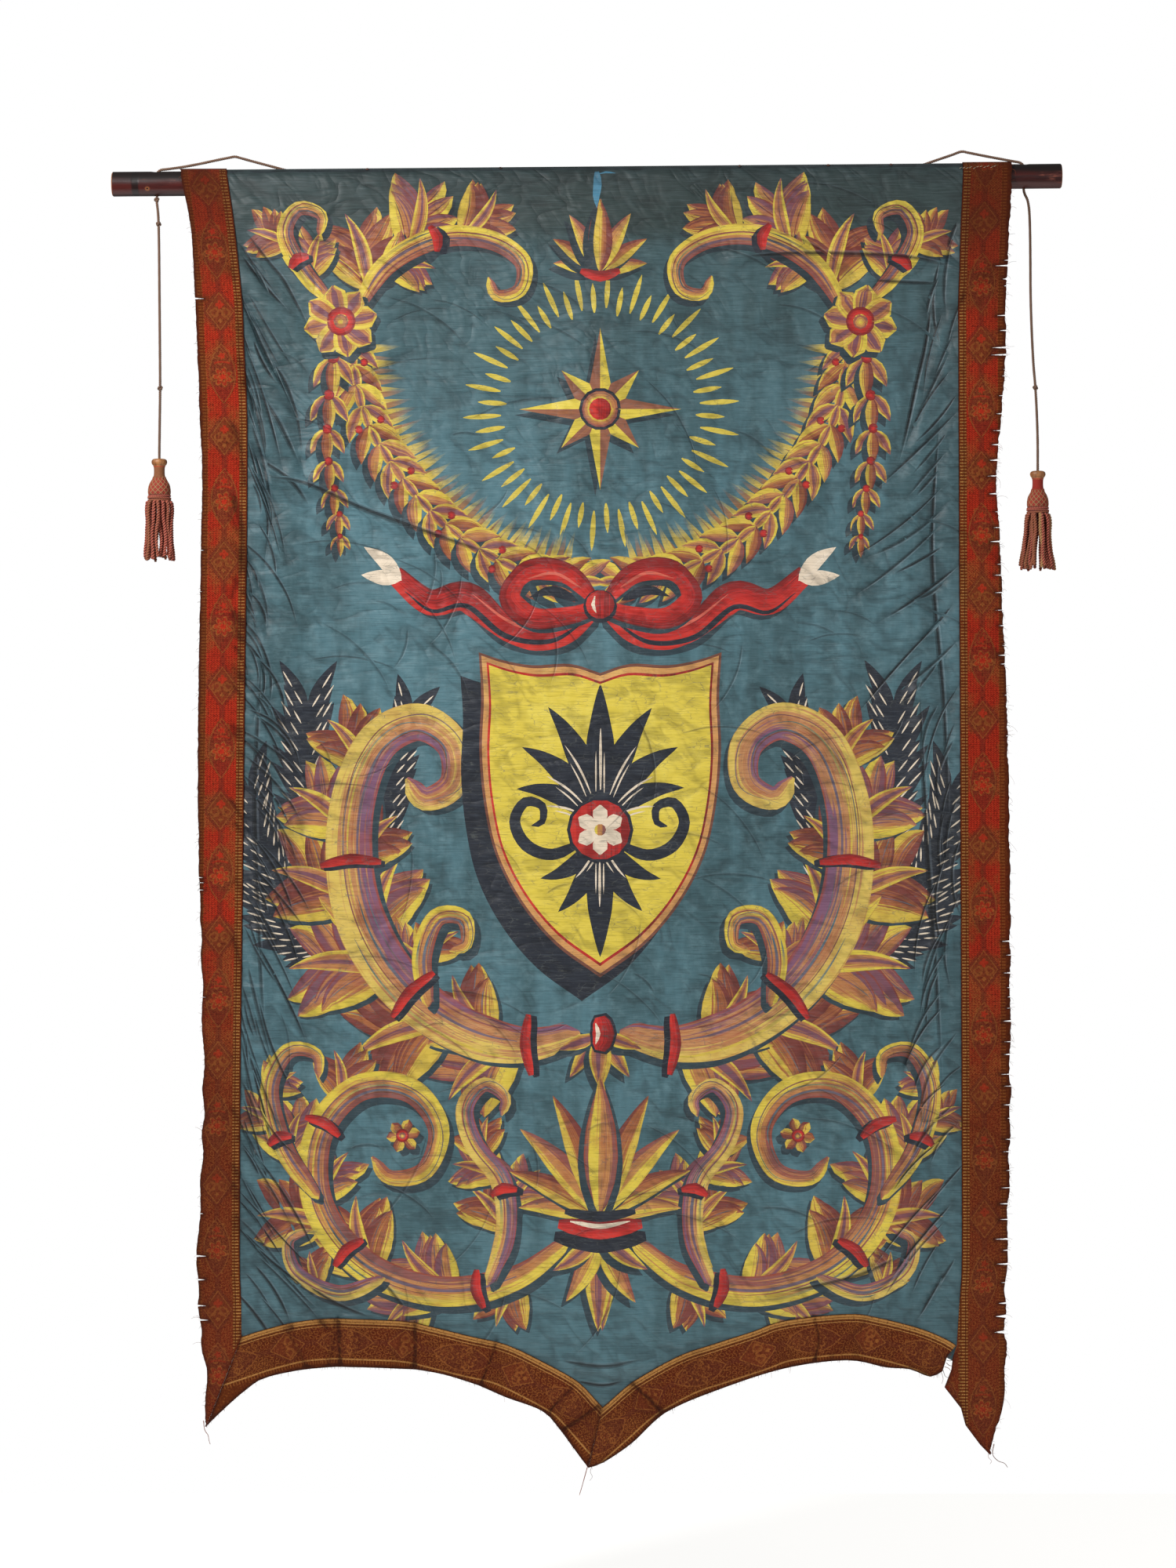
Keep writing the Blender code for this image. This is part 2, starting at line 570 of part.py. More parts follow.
def make_knots(lines):
    """The knots along the cords, and the end knots behind the pole's top."""
    for knot in KNOTS:
        line = lines[knot.side]
        low = next(i for i, p in enumerate(line) if p.z < knot.height * MM and p.z < -60 * MM)
        above, below = line[low - 1], line[low]
        centre = above.lerp(below, (above.z - knot.height * MM) / (above.z - below.z))
        turn = (above - below).to_track_quat("Z", "Y").to_matrix().to_4x4()
        turned(knot.name, knot_profile(), 9, Matrix.Translation(centre) @ turn, "cord_twine", 0.05)
    for side, across in END_KNOT_ACROSS.items():
        x = across * MM
        reach = POLE_RADIUS + GAP + KNOT_RADIUS
        out = Vector((0, -math.cos(END_KNOT_ANGLE), math.sin(END_KNOT_ANGLE))) * reach
        size = KNOT_RADIUS / MM
        ball = [(0, size), (size * 0.7, size * 0.7), (size, 0), (size * 0.7, -size * 0.7), (0, -size)]
        place = Matrix.Translation(Vector((x, 0, pole_height(x))) + out)
        turned(f"knot_{side}_end", ball, 8, place, "cord_twine")


def make_tassel_head(tassel, x):
    """The cap, neck, bell and collar, drilled for the cord."""
    bore = (CORD_RADIUS + GAP) / MM
    cap, bell, collar = tassel.cap_radius, tassel.bell_radius, tassel.collar_radius
    profile = [
        (bore, 0), (cap * 0.7, 0), (cap, -3), (cap, -8), (cap * 0.86, -11), (8.3, -13), (8.3, -26),
        (bell * 0.72, -32), (bell * 0.95, -41), (bell, -49), (bell * 0.96, -56), (collar, -58),
        (collar, -TASSEL_HEAD), (bore, -TASSEL_HEAD),
    ]
    place = Matrix.Translation((x, 0, tassel.top * MM))
    turned(f"tassel_head_{tassel.side}", profile, TASSEL_SIDES, place, "tassel_wood")


def skirt_ring(tassel):
    """The ring that the strands grow from, and the faces under it in rows."""
    bm = bmesh.new()
    radii = [tassel.skirt_radius, tassel.skirt_radius - 7.5, tassel.skirt_radius - 14]
    top = -TASSEL_HEAD - GAP / MM
    loops = [(radii[0], top), (radii[0], top - SKIRT_RING), (radii[1], top - SKIRT_RING), (radii[2], top - SKIRT_RING)]
    loops.append((radii[2], top))
    rings = []
    for radius, height in loops:
        turns = [2 * math.pi * i / TASSEL_SIDES for i in range(TASSEL_SIDES)]
        rings.append([bm.verts.new((radius * MM * math.cos(t), radius * MM * math.sin(t), height * MM)) for t in turns])
    rows = {}
    for step, (low, high) in enumerate(zip(rings, rings[1:] + rings[:1])):
        for i in range(TASSEL_SIDES):
            j = (i + 1) % TASSEL_SIDES
            face = bm.faces.new((low[i], low[j], high[j], high[i]))
            if step in (1, 2):
                rows.setdefault(step - 1, []).append(face)
    return bm, rows


def make_tassel_skirt(tassel, x):
    """Strands drawn down one by one from the underside of their ring."""
    bm, rows = skirt_ring(tassel)
    bmesh.ops.recalc_face_normals(bm, faces=bm.faces)
    length = (tassel.hem_drop - TASSEL_HEAD - SKIRT_RING) * MM
    for row, faces in rows.items():
        every = SKIRT_ROWS[row][1]
        chosen = faces[::every]
        bmesh.ops.inset_individual(bm, faces=chosen, thickness=0.7 * MM, depth=0)
        for number, face in enumerate(chosen):
            out = Vector(face.calc_center_median().xy)
            flare = (tassel.hem_radius - tassel.skirt_radius) * MM * (1 if row == 0 else 0.45)
            uneven = 0.94 + 0.06 * math.cos(2.3 * number + row)
            for step in range(STRAND_STEPS):
                face = bmesh.ops.extrude_discrete_faces(bm, faces=[face])["faces"][0]
                share = (step + 1) / STRAND_STEPS
                sway = 0.6 * MM * math.sin(2.1 * number + 2.6 * share)
                spread = flare * (share**1.5 - (step / STRAND_STEPS) ** 1.5)
                move = out.normalized() * spread + out.normalized().orthogonal() * sway / STRAND_STEPS
                for vert in face.verts:
                    vert.co += Vector((*move, -length * uneven / STRAND_STEPS))
    bmesh.ops.translate(bm, vec=(x, 0, tassel.top * MM), verts=bm.verts)
    name = f"tassel_skirt_{tassel.side}"
    node(name, shaded(bm, name), "tassel_yarn")


def main():
    for old in list(bpy.data.objects):
        bpy.data.objects.remove(old)
    make_pole()
    make_cloth()
    make_tacks()
    lines = {"left": make_cord("left", LEFT_ROUTE), "right": make_cord("right", RIGHT_ROUTE)}
    make_knots(lines)
    for tassel in TASSELS:
        x = lines[tassel.side][-1].x
        make_tassel_head(tassel, x)
        make_tassel_skirt(tassel, x)


main()
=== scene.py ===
"""The looks of a painted cloth banner on its pole, built round the packed model.

Metres, +Z up, the painted side faces -Y. Cloth is drawn flat first, as a maker's pattern: across is X, and
drop runs down from the frame's origin. It is painted flat too, as overlapping marks, and then laid over the
pole and hung with the same folds as the solids.
"""

import math
import random
from collections import namedtuple

import bmesh
import bpy
import numpy as np
from bpy.props import FloatProperty, FloatVectorProperty, PointerProperty
from mathutils import Matrix, Vector
from mathutils.geometry import delaunay_2d_cdt


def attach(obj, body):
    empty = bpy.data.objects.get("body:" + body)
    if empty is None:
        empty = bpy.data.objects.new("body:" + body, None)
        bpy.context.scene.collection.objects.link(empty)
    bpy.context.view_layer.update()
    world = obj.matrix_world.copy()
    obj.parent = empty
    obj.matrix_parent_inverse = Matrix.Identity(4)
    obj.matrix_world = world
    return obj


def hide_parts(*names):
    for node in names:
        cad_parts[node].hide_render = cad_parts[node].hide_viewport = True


bl_info = {
    "name": "Painted Banner",
    "version": (1, 0, 0),
    "blender": (4, 5, 0),
    "location": "View3D > Sidebar > Banner",
    "description": "Dresses a packed banner with its painted cloth, woven borders, cords and tassels",
    "category": "Object",
}

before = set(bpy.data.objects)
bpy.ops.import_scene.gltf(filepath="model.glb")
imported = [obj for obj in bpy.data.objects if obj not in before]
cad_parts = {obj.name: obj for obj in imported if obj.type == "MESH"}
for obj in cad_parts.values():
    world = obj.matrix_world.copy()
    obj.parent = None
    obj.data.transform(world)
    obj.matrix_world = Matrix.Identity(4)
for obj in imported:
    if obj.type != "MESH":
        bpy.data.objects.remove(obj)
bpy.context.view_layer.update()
BODY = "root"
MM = 0.001

# Pole
POLE_RADIUS = 19 * MM
POLE_LENGTH = 1458 * MM
POLE_LEFT_END = (-746.4 * MM, -48.2 * MM)  # across, and height of the axis
POLE_RISE = 12.6 * MM  # the right end hangs higher
HOLE_ACROSS = {"left": -678 * MM, "right": 654 * MM}
BORE = 3.3  # radius of the holes, in millimetres

# Cloth on the pole
CLOTH = 1.2 * MM
GAP = 0.4 * MM
PANEL_STAND = 0.7 * MM
RIBBON_STAND = PANEL_STAND + CLOTH + GAP
LAP = 28 * MM
WRAP_ANGLE = math.radians(80)
WRAP_RADIUS = POLE_RADIUS + RIBBON_STAND
WRAP = WRAP_ANGLE * WRAP_RADIUS
MITRE_GAP = 0.04 * MM
EDGE_DARK_REACH = 34 * MM  # how far inside its edges the cloth is darkened
FOLD_EASE = (10 * MM, 70 * MM)
CENTRE = 3  # the painted design's middle line, in millimetres
LINE_STEP = 12 * MM  # between the points of the cut edges

# The four long edges of the side ribbons, in millimetres: how far down, and how far across
RibbonEdges = namedtuple("RibbonEdges", "drop left_outer left_inner right_inner right_outer")
TOP_CORNERS = RibbonEdges(None, -642, -570.5, 559.2, 634)
RIBBON_EDGES = [
    RibbonEdges(45, -638, -567, 558, 633.6),
    RibbonEdges(118, -624, -556.5, 555, 630),
    RibbonEdges(226, -617, -545, 551.3, 624),
    RibbonEdges(300, -614, -541.6, 551.3, 625),
    RibbonEdges(400, -610, -537, 551.5, 618),
    RibbonEdges(505, -606, -536.8, 552, 609.6),
    RibbonEdges(610, -608, -537.6, 552.4, 615.6),
    RibbonEdges(970, -613, -542, 553.8, 629),
    RibbonEdges(1450, -606, -547.7, 555.6, 632.4),
    RibbonEdges(1690, -615.5, -548.7, 556.4, 627.6),
    RibbonEdges(1750, -613.5, -547, 554, 624),
]
Spot = namedtuple("Spot", "across drop")
LEFT_CORNER = Spot(-546, 1816)
RIGHT_CORNER = Spot(549, 1829)
LEFT_TAIL_OUTER = [Spot(-609.6, 1816), Spot(-602, 1869), Spot(-602, 1919), Spot(-601.5, 1953)]
LEFT_TIP = Spot(-599.5, 1953)
RIGHT_TAIL_OUTER = [Spot(626, 1834), Spot(624, 1894), Spot(613, 1950), Spot(602, 1994)]
RIGHT_TAIL_INNER = [
    Spot(600, 1997), Spot(584.4, 1981), Spot(562, 1951), Spot(555, 1925), Spot(530, 1893),
    Spot(540.5, 1866), Spot(542.5, 1848),
]

# The two bottom ribbons, from left to right, in millimetres: their upper edge and their lower edge
BandEdges = namedtuple("BandEdges", "top_across top_drop low_across low_drop")
LEFT_BAND = [
    BandEdges(-546, 1816, -599.5, 1953),
    BandEdges(-514, 1806, -582, 1935),
    BandEdges(-463, 1794, -539, 1897),
    BandEdges(-413, 1789.5, -503, 1877),
    BandEdges(-337, 1790.5, -413, 1864),
    BandEdges(-286, 1794, -278, 1867),
    BandEdges(-196, 1815, -196, 1885.5),
    BandEdges(-140, 1828, -140, 1909),
    BandEdges(-85, 1854, -85, 1930),
    BandEdges(-30, 1885.5, -57.5, 1960),
    BandEdges(6.8, 1924, -17, 2014),
]
RIGHT_BAND = [
    BandEdges(6.8, 1924, -15, 2016),
    BandEdges(52.3, 1885.5, 8.4, 2008),
    BandEdges(121, 1847, 52.3, 1978),
    BandEdges(176.4, 1828, 102, 1933.5),
    BandEdges(236.4, 1808.5, 176.4, 1900.5),
    BandEdges(284.4, 1792, 284.4, 1865.5),
    BandEdges(380.4, 1781, 380.4, 1851.5),
    BandEdges(427, 1786, 440.4, 1862.5),
    BandEdges(492.6, 1803, 476.4, 1865.5),
    BandEdges(531.6, 1819, 508, 1877),
    BandEdges(548, 1829, 527, 1868.5),
]
BAND_END_TEAR = [Spot(534, 1846)]

# Soft ridges (height over 0) and troughs in the hanging cloth, in millimetres
Fold = namedtuple("Fold", "height width line")
FOLDS = [
    Fold(4.5, 11, [(206, 164), (300, 157), (404, 158), (480, 163), (535, 176), (580, 196)]),
    Fold(2.5, 9, [(419, 198), (475, 201), (533, 203)]),
    Fold(-3, 11, [(551, 108), (542, 130), (535, 154)]),
    Fold(-4, 13, [(512, 226), (502, 298), (488, 358), (474, 424), (458, 490)]),
    Fold(-4.5, 13, [(-539, 124), (-503, 171), (-482, 197), (-458, 241), (-438, 281)]),
    Fold(-4, 12, [(-541, 232), (-511, 310), (-482, 348), (-460, 412), (-451, 493)]),
    Fold(-3, 12, [(-535, 354), (-494, 406), (-454, 487)]),
    Fold(-3.5, 12, [(-518, 471), (-470, 505), (-439, 549)]),
    Fold(4.5, 14, [(-521, 498), (-450, 508), (-355, 549), (-194, 607), (-114, 634)]),
    Fold(-5, 15, [(-534, 1649), (-488, 1713), (-452, 1756), (-418, 1786)]),
    Fold(-3.5, 13, [(-448, 1738), (-397, 1768), (-342, 1790)]),
    Fold(-3.5, 12, [(-326, 1735), (-294, 1775)]),
    Fold(-4, 15, [(284, 1750), (404, 1720), (488, 1678)]),
    Fold(3.5, 12, [(-58, 1852), (8, 1860), (74, 1849)]),
    Fold(-3, 10, [(-34, 1884), (8, 1890), (44, 1882)]),
    Fold(-4.5, 16, [(524, 394), (512, 610), (530, 850), (539, 1090)]),
    Fold(4, 17, [(492, 820), (503, 1050), (516, 1240), (528, 1460)]),
    Fold(4.5, 17, [(-514, 760), (-524, 980), (-519, 1180), (-508, 1420)]),
    Fold(-4, 12, [(-394, 1788), (-402, 1830), (-400, 1864)]),
    Fold(-4, 12, [(-280, 1796), (-284, 1830), (-282, 1867)]),
    Fold(-4, 12, [(4, 1926), (-24, 1944), (-50, 1958)]),
    Fold(-3.5, 12, [(52, 1888), (74, 1910), (98, 1932)]),
]

# Long swells of the whole cloth, in millimetres: its waves run across, and lean as they go down
Swell = namedtuple("Swell", "height wavelength lean phase")
SWELLS = [Swell(3.2, 610, 0.10, 0.6), Swell(1.8, 330, -0.22, 2.1), Swell(1.1, 190, 0.35, 4.0)]
BORDER_CREASES = 165  # sharp creases that fan in from the borders
LOOSE_CREASES = 120  # sharp creases scattered over the cloth

# Cord routes, in millimetres, from the hidden knot over the peak and down to the tassel
CORD_ROUTES = {
    "left": [
        (-445.4, 20.1, -32.7), (-470, 18.6, -26.6), (-500, 16.6, -18.9), (-530, 14.4, -11.2),
        (-550, 12.8, -5.9), (-559.2, 12, -3.8), (-569, 11.1, -5.6), (-590, 9.2, -10.2), (-611, 6.9, -15.2),
        (-637, 4.3, -20.6), (-655, 2.2, -23.6), (-664, 1.1, -25), (-670.8, 0.4, -25.9), (-675.4, 0.1, -28.3),
        (-677.5, 0, -31.6), (-678, 0, -35.5), (-678, 0, -50), (-678, 0, -67), (-678.4, 0, -74),
        (-676.6, 0, -90), (-675.6, 0, -108), (-674.8, 0, -150), (-674.2, 0, -220), (-673.6, 0, -290),
        (-673.2, 0, -361.4), (-673.9, 0, -420), (-674.4, 0, -462), (-674.4, 0, -500), (-674.4, 0, -545),
    ],
    "right": [
        (474.3, 20, -24.4), (495, 18.1, -17.4), (520, 15.8, -9), (545, 13.4, -0.8), (559.2, 12, 4),
        (570, 10.8, 2.2), (590, 8.3, -2.3), (610, 5.8, -6.6), (630, 3.2, -10.8), (640, 1.9, -12.9),
        (646.8, 0.8, -14.3), (651.4, 0.2, -16.8), (653.5, 0, -20.1), (654, 0, -24), (654, 0, -40),
        (654, 0, -56), (656, 0, -64), (660, 0, -73), (662.6, 0, -90), (663.8, 0, -123), (664.3, 0, -166),
        (664.6, 0, -214), (666, 0, -265), (668.8, 0, -322), (671.9, 0, -359.6), (674.1, 0, -400),
        (675.4, 0, -440), (675.6, 0, -480), (675.6, 0, -520), (675.6, 0, -563.6),
    ],
}
CORD_RADIUS = 2.25 * MM

# Knots tied in the cords: name, side, and height in millimetres
Knot = namedtuple("Knot", "name side height")
KNOTS = [
    Knot("knot_left_stop", "left", -71.6),
    Knot("knot_left_upper", "left", -108),
    Knot("knot_left_lower", "left", -361.4),
    Knot("knot_right_lower", "right", -359.6),
]
KNOT_PITCH = 6 * MM  # of the cord's strands in a knot
END_KNOT_ACROSS = {"left": -441, "right": 470}
END_KNOT_ANGLE = math.radians(150)
END_KNOT_REACH = 4.3 * MM

# Tassels, in millimetres: the top of the cap, and the skirt's ends
Tassel = namedtuple(
    "Tassel", "side top cap_radius bell_radius collar_radius skirt_radius hem_radius hem_drop"
)
TASSELS = [
    Tassel("left", -470, 12, 17.2, 18, 22, 25, 158),
    Tassel("right", -488.6, 11.9, 16.4, 17.2, 18, 31, 153.5),
]
CAP_FOOT = 13.4  # how far below a tassel's top the wood ends
NET_DEPTHS = (27.5, 56.5)  # where the net over the bell starts and ends
SKIRT_ROWS = ((16, 2.9), (10, 8.8), (5, 13.8))  # strands in each row of the skirt, and how far in they hang

# Slits worn into the outer edges, in millimetres
Slit = namedtuple("Slit", "drop depth width")
LEFT_SLITS = [
    Slit(227, 15, 2.5), Slit(1692, 16, 3), Slit(1728, 12, 2.5), Slit(1768, 14, 2.5), Slit(1790, 14, 2.5),
]
RIGHT_SLITS = [
    Slit(177, 20, 2.5), Slit(196, 24, 2.5), Slit(302, 22, 3), Slit(313, 24, 3), Slit(474, 13, 3),
    Slit(1666, 20, 3), Slit(1704, 18, 3), Slit(1764, 12, 3), Slit(1784, 16, 5), Slit(1808, 16, 5),
]

# Sharp tucks in the bottom borders, and the long threads of the torn tips with their thickness
TUCKS = [
    [(-545, 1814), (-562, 1860), (-580, 1906), (-597, 1950)], [(5, 1926), (-5, 1968), (-14, 2008)],
    [(-399, 1786), (-396, 1826), (-394, 1868)], [(-281, 1790), (-280, 1830), (-282, 1872)],
    [(-155, 1820), (-164, 1850), (-181, 1890)], [(1, 1922), (-24, 1940), (-52, 1958)],
    [(-41, 1896), (-58, 1912), (-78, 1934)], [(52, 1888), (72, 1906), (98, 1932)],
    [(330, 1783), (338, 1820), (330, 1858)],
]
TIP_THREADS = {
    "ribbon_left": [([(-604, 1944), (-602, 1958), (-597, 1966), (-595.5, 1974), (-593.5, 1980)], 0.7)],
    "ribbon_right": [
        ([(606, 1980), (604, 1996), (612, 2006), (622, 2010), (627, 2016.5)], 0.7),
        ([(600, 1984), (597, 1999), (602, 2006), (600, 2011)], 0.4),
    ],
    "band_left": [([(-14, 2006), (-19, 2024), (-24, 2042), (-29, 2059)], 0.8)],
    "band_right": [
        ([(-8, 2010), (-12, 2022), (-9, 2030), (-13, 2036)], 0.35),
        ([(530, 1862), (536, 1864), (541, 1870), (543, 1878)], 0.5),
        ([(534, 1852), (539, 1853), (544, 1850)], 0.5),
        ([(528, 1867), (531, 1876), (537, 1880), (538, 1888)], 0.45),
        ([(533, 1856), (538, 1860), (545, 1861)], 0.6),
        ([(525, 1869), (528, 1880), (526, 1888)], 0.4),
        ([(531, 1849), (537, 1846), (541, 1842)], 0.4),
    ],
}


# Loose threads of the left, right and bottom borders: how far outward they lean, how many, and how long
FRAYS = {-1: (-1, 230, (1.5, 6)), 1: (1, 420, (2, 9)), 0: (0.25, 190, (1.5, 5))}
# How the woven pattern lies on the borders: it starts anew past the inner edge, higher or lower on each
# side border, and runs straight on past both ends of the bottom ones
WEAVE_TURN = 14 * MM
WEAVE_STARTS = {"left": 40 * MM, "right": -12 * MM}
WEAVE_REACH = 160 * MM

# Stage, in metres: each lamp has a place and a size
CAMERA_PLACE = (-0.0156, -5.69, -0.96984)
CAMERA_LENS = 85
FLOOR_REACH = 1.25
FLOOR_GLOW = 0.74
LAMPS = {"key": ((-2.1, -2.4, 0.9), 1.1), "fill": ((2.4, -3.0, -0.4), 1.8)}
LAMP_AIM = (0, 0, -0.95)

# Drawing on the flat pattern


def smooth_line(points, step):
    """Points about a step apart on a smooth curve through the given ones."""
    knots = [Vector(p) for p in points]
    padded = [2 * knots[0] - knots[1]] + knots + [2 * knots[-1] - knots[-2]]
    line = []
    for a, b, c, d in zip(padded, padded[1:], padded[2:], padded[3:]):
        count = max(1, round((c - b).length / step))
        for i in range(count):
            t = i / count
            square, cube = 2 * a - 5 * b + 4 * c - d, 3 * b - a - 3 * c + d
            line.append(0.5 * (2 * b + (c - a) * t + square * t**2 + cube * t**3))
    return line + [knots[-1]]


def as_array(line):
    """A line of vectors as rows of numbers."""
    return np.array([tuple(p) for p in line])


def run_along(line):
    """How far along a line each of its points lies."""
    return np.concatenate([[0], np.cumsum(np.linalg.norm(np.diff(line, axis=0), axis=1))])


def leftward(line):
    """The direction to the left of a flat line at each of its points."""
    ahead = np.gradient(line, axis=0)
    return np.stack([-ahead[:, 1], ahead[:, 0]], axis=1) / np.linalg.norm(ahead, axis=1)[:, None]


def extent(points):
    """The lowest and the highest corner round some points."""
    places = as_array(points)
    return places.min(0), places.max(0)


def even_line(points, step):
    """The same curve with its points an even step apart."""
    fine = as_array(smooth_line(points, step / 8))
    run = run_along(fine)
    stops = np.linspace(0, run[-1], round(run[-1] / step) + 1)
    return [Vector([np.interp(s, run, axis) for axis in fine.T]) for s in stops]


def in_metres(points):
    """Table points in millimetres as pattern points."""
    return [Vector((p[0] * MM, p[1] * MM)) for p in points]


def pole_height(across):
    """Height of the pole's axis."""
    return POLE_LEFT_END[1] + (across - POLE_LEFT_END[0]) * POLE_RISE / POLE_LENGTH


def eased(share):
    """A soft step from 0 to 1."""
    share = np.clip(share, 0, 1)
    return share * share * (3 - 2 * share)


def along_line(points, line):
    """Where points lie beside a line: signed distance from it, run along it, and whether past its ends."""
    nearest = np.full(len(points), np.inf)
    side, run, past = np.zeros(len(points)), np.zeros(len(points)), np.zeros(len(points), bool)
    start = 0.0
    last = len(line) - 2
    for number, (a, b) in enumerate(zip(line, line[1:])):
        step = b - a
        length = math.hypot(*step)
        if length == 0:
            continue
        away = points - a
        share = away @ step / length**2
        held = np.clip(share, 0, 1)
        distance = np.linalg.norm(away - held[:, None] * step, axis=1)
        closer = distance < nearest
        nearest[closer] = distance[closer]
        turn = step[0] * away[:, 1] - step[1] * away[:, 0]
        side[closer] = (np.where(turn < 0, -1, 1) * distance)[closer]
        run[closer] = (start + held * length)[closer]
        beyond = ((share < 0) & (number == 0)) | ((share > 1) & (number == last))
        past[closer] = beyond[closer]
        start += length
    return side, run, past


def inside(points, outline):
    """Which points lie inside a closed outline."""
    found = np.zeros(len(points), bool)
    x, y = points.T
    for (ax, ay), (bx, by) in zip(outline, np.roll(outline, -1, axis=0)):
        crosses = (ay > y) != (by > y)
        if crosses.any():
            found ^= crosses & (x < (bx - ax) * (y - ay) / (by - ay) + ax)
    return found


def outline_area(outline):
    """Area inside a closed outline."""
    ahead = outline[1:] + outline[:1]
    return abs(sum(a.x * b.y - b.x * a.y for a, b in zip(outline, ahead))) / 2


def raised(points, folds):
    """How far a set of folds lifts each pattern point."""
    lift = np.zeros(len(points))
    for fold in folds:
        line = as_array(smooth_line(in_metres(fold.line), 10 * MM))
        width = fold.width * MM
        low, high = line.min(0) - 3 * width, line.max(0) + 3 * width
        near = np.all((points > low) & (points < high), axis=1)
        if near.any():
            side, run, past = along_line(points[near], line)
            lift[near] += fold.height * MM * np.exp(-((side / width) ** 2))
    return lift


def relief(points, creases=()):
    """How far the hanging cloth stands forward at each (across, drop)."""
    forward = raised(points, FOLDS) + raised(points, creases)
    for swell in SWELLS:
        waves = (points[:, 0] + swell.lean * points[:, 1]) / (swell.wavelength * MM)
        forward += swell.height * MM * np.sin(2 * math.pi * waves + swell.phase)
    below = points[:, 1] + pole_height(points[:, 0])
    return forward * eased((below - FOLD_EASE[0]) / (FOLD_EASE[1] - FOLD_EASE[0]))


def hung(points, stand, forward):
    """Places of pattern points laid round the pole's front and hung below it."""
    across, drop = points.T
    axis = pole_height(across)
    radius = POLE_RADIUS + stand
    turn = np.maximum(-drop - axis, 0) / WRAP_RADIUS
    height = np.where(turn > 0, axis + radius * np.sin(turn), -drop)
    return np.stack([across, -radius * np.cos(turn) - forward, height], axis=1)


def top_drop(across):
    """Drop of the cloth's top edge in the pattern."""
    return -pole_height(across) - WRAP


def edge(column):
    """One long edge of a side ribbon in the pattern, from its top to the last row of the table."""
    across = getattr(TOP_CORNERS, column) * MM
    rows = [(getattr(row, column) * MM, row.drop * MM) for row in RIBBON_EDGES]
    return smooth_line([(across, top_drop(across))] + rows, LINE_STEP)


def band_lines(rows):
    """The upper and lower edges of a bottom ribbon in the pattern."""
    top = smooth_line([(row.top_across * MM, row.top_drop * MM) for row in rows], LINE_STEP)
    low = smooth_line([(row.low_across * MM, row.low_drop * MM) for row in rows], LINE_STEP)
    return top, low


def rim_edges(triangles):
    """The edges that only one triangle has, in its own direction."""
    sides = np.concatenate([triangles[:, [0, 1]], triangles[:, [1, 2]], triangles[:, [2, 0]]])
    keys = np.sort(sides, axis=1)
    order = np.lexsort((keys[:, 1], keys[:, 0]))
    ordered = keys[order]
    same = np.all(ordered[1:] == ordered[:-1], axis=1)
    alone = np.ones(len(ordered), bool)
    alone[1:] &= ~same
    alone[:-1] &= ~same
    return sides[order[alone]]


# Paint: flat marks, each with a middle line that its brush follows


def colour(code, alpha=1.0):
    """A linear colour from its usual six-digit code."""
    parts = [int(code[i : i + 2], 16) / 255 for i in (0, 2, 4)]
    return tuple(p / 12.92 if p <= 0.04045 else ((p + 0.055) / 1.055) ** 2.4 for p in parts) + (alpha,)


# Each paint's tones, how far it covers the cloth, and how its brush works: 0 flat, 0.5 bright at both edges
# and dark down the middle, 1 dark on one side and bright on the other
Paint = namedtuple("Paint", "edge shade body light cover way")
PAINTS = {
    "gold": Paint("8a3a24", "7d4a44", "b07a44", "c9b23e", 1.0, 1.0),
    "leaf": Paint("7e3424", "6e434e", "a87040", "c8b13e", 1.0, 0.5),
    "leaf_red": Paint("662a22", "6e342c", "985a32", "c2a63e", 1.0, 1.0),
    "leaf_gold": Paint("7e3424", "6e434e", "a87040", "c8b13e", 1.0, 1.0),
    "flesh": Paint("8f3e28", "744e66", "b07c4e", "c8ac52", 1.0, 1.0),
    "ray": Paint("a07c2e", "b09338", "c6b03e", "d0ba46", 0.95, 0.0),
    "facet": Paint("a07c2e", "b89a3a", "cab43e", "d2be4a", 1.0, 0.0),
    "facet_dark": Paint("5b3a38", "6b4340", "85523c", "a0683e", 1.0, 0.0),
    "fringe": Paint("8a6a2c", "a98a34", "c2a63a", "ccb444", 0.95, 0.25),
    "fringe_dark": Paint("54322c", "7a4a2a", "96622e", "a8763a", 0.9, 0.25),
    "brick": Paint("702a1c", "7e2f20", "8c3826", "9a4630", 0.75, 0.25),
    "mauve": Paint("5c3a48", "684252", "744c5c", "845c66", 0.7, 0.25),
    "umber": Paint("3c2a2c", "54322c", "6b3f30", "85523a", 1.0, 0.0),
    "tan": Paint("8f3a22", "a8744a", "c08a50", "cda05a", 1.0, 0.0),
    "red": Paint("5c1514", "7e1816", "ab201b", "bb2a20", 1.0, 1.0),
    "red_light": Paint("b23a2c", "c04a38", "cc5a44", "d66c54", 0.9, 0.0),
    "ink": Paint("14161c", "181b23", "1e222b", "2a2f39", 1.0, 0.0),
    "shadow": Paint("1b2229", "1d252c", "212a31", "27333a", 0.82, 0.0),
    "cream": Paint("b09c84", "cbb89f", "e0cdb4", "ebdcc8", 0.9, 0.0),
    "clean": Paint("2f5468", "3a6a82", "447c96", "568ca4", 0.95, 0.0),
    "field": Paint("bfa838", "c6b03c", "ccb640", "d2be4c", 1.0, 0.0),
}

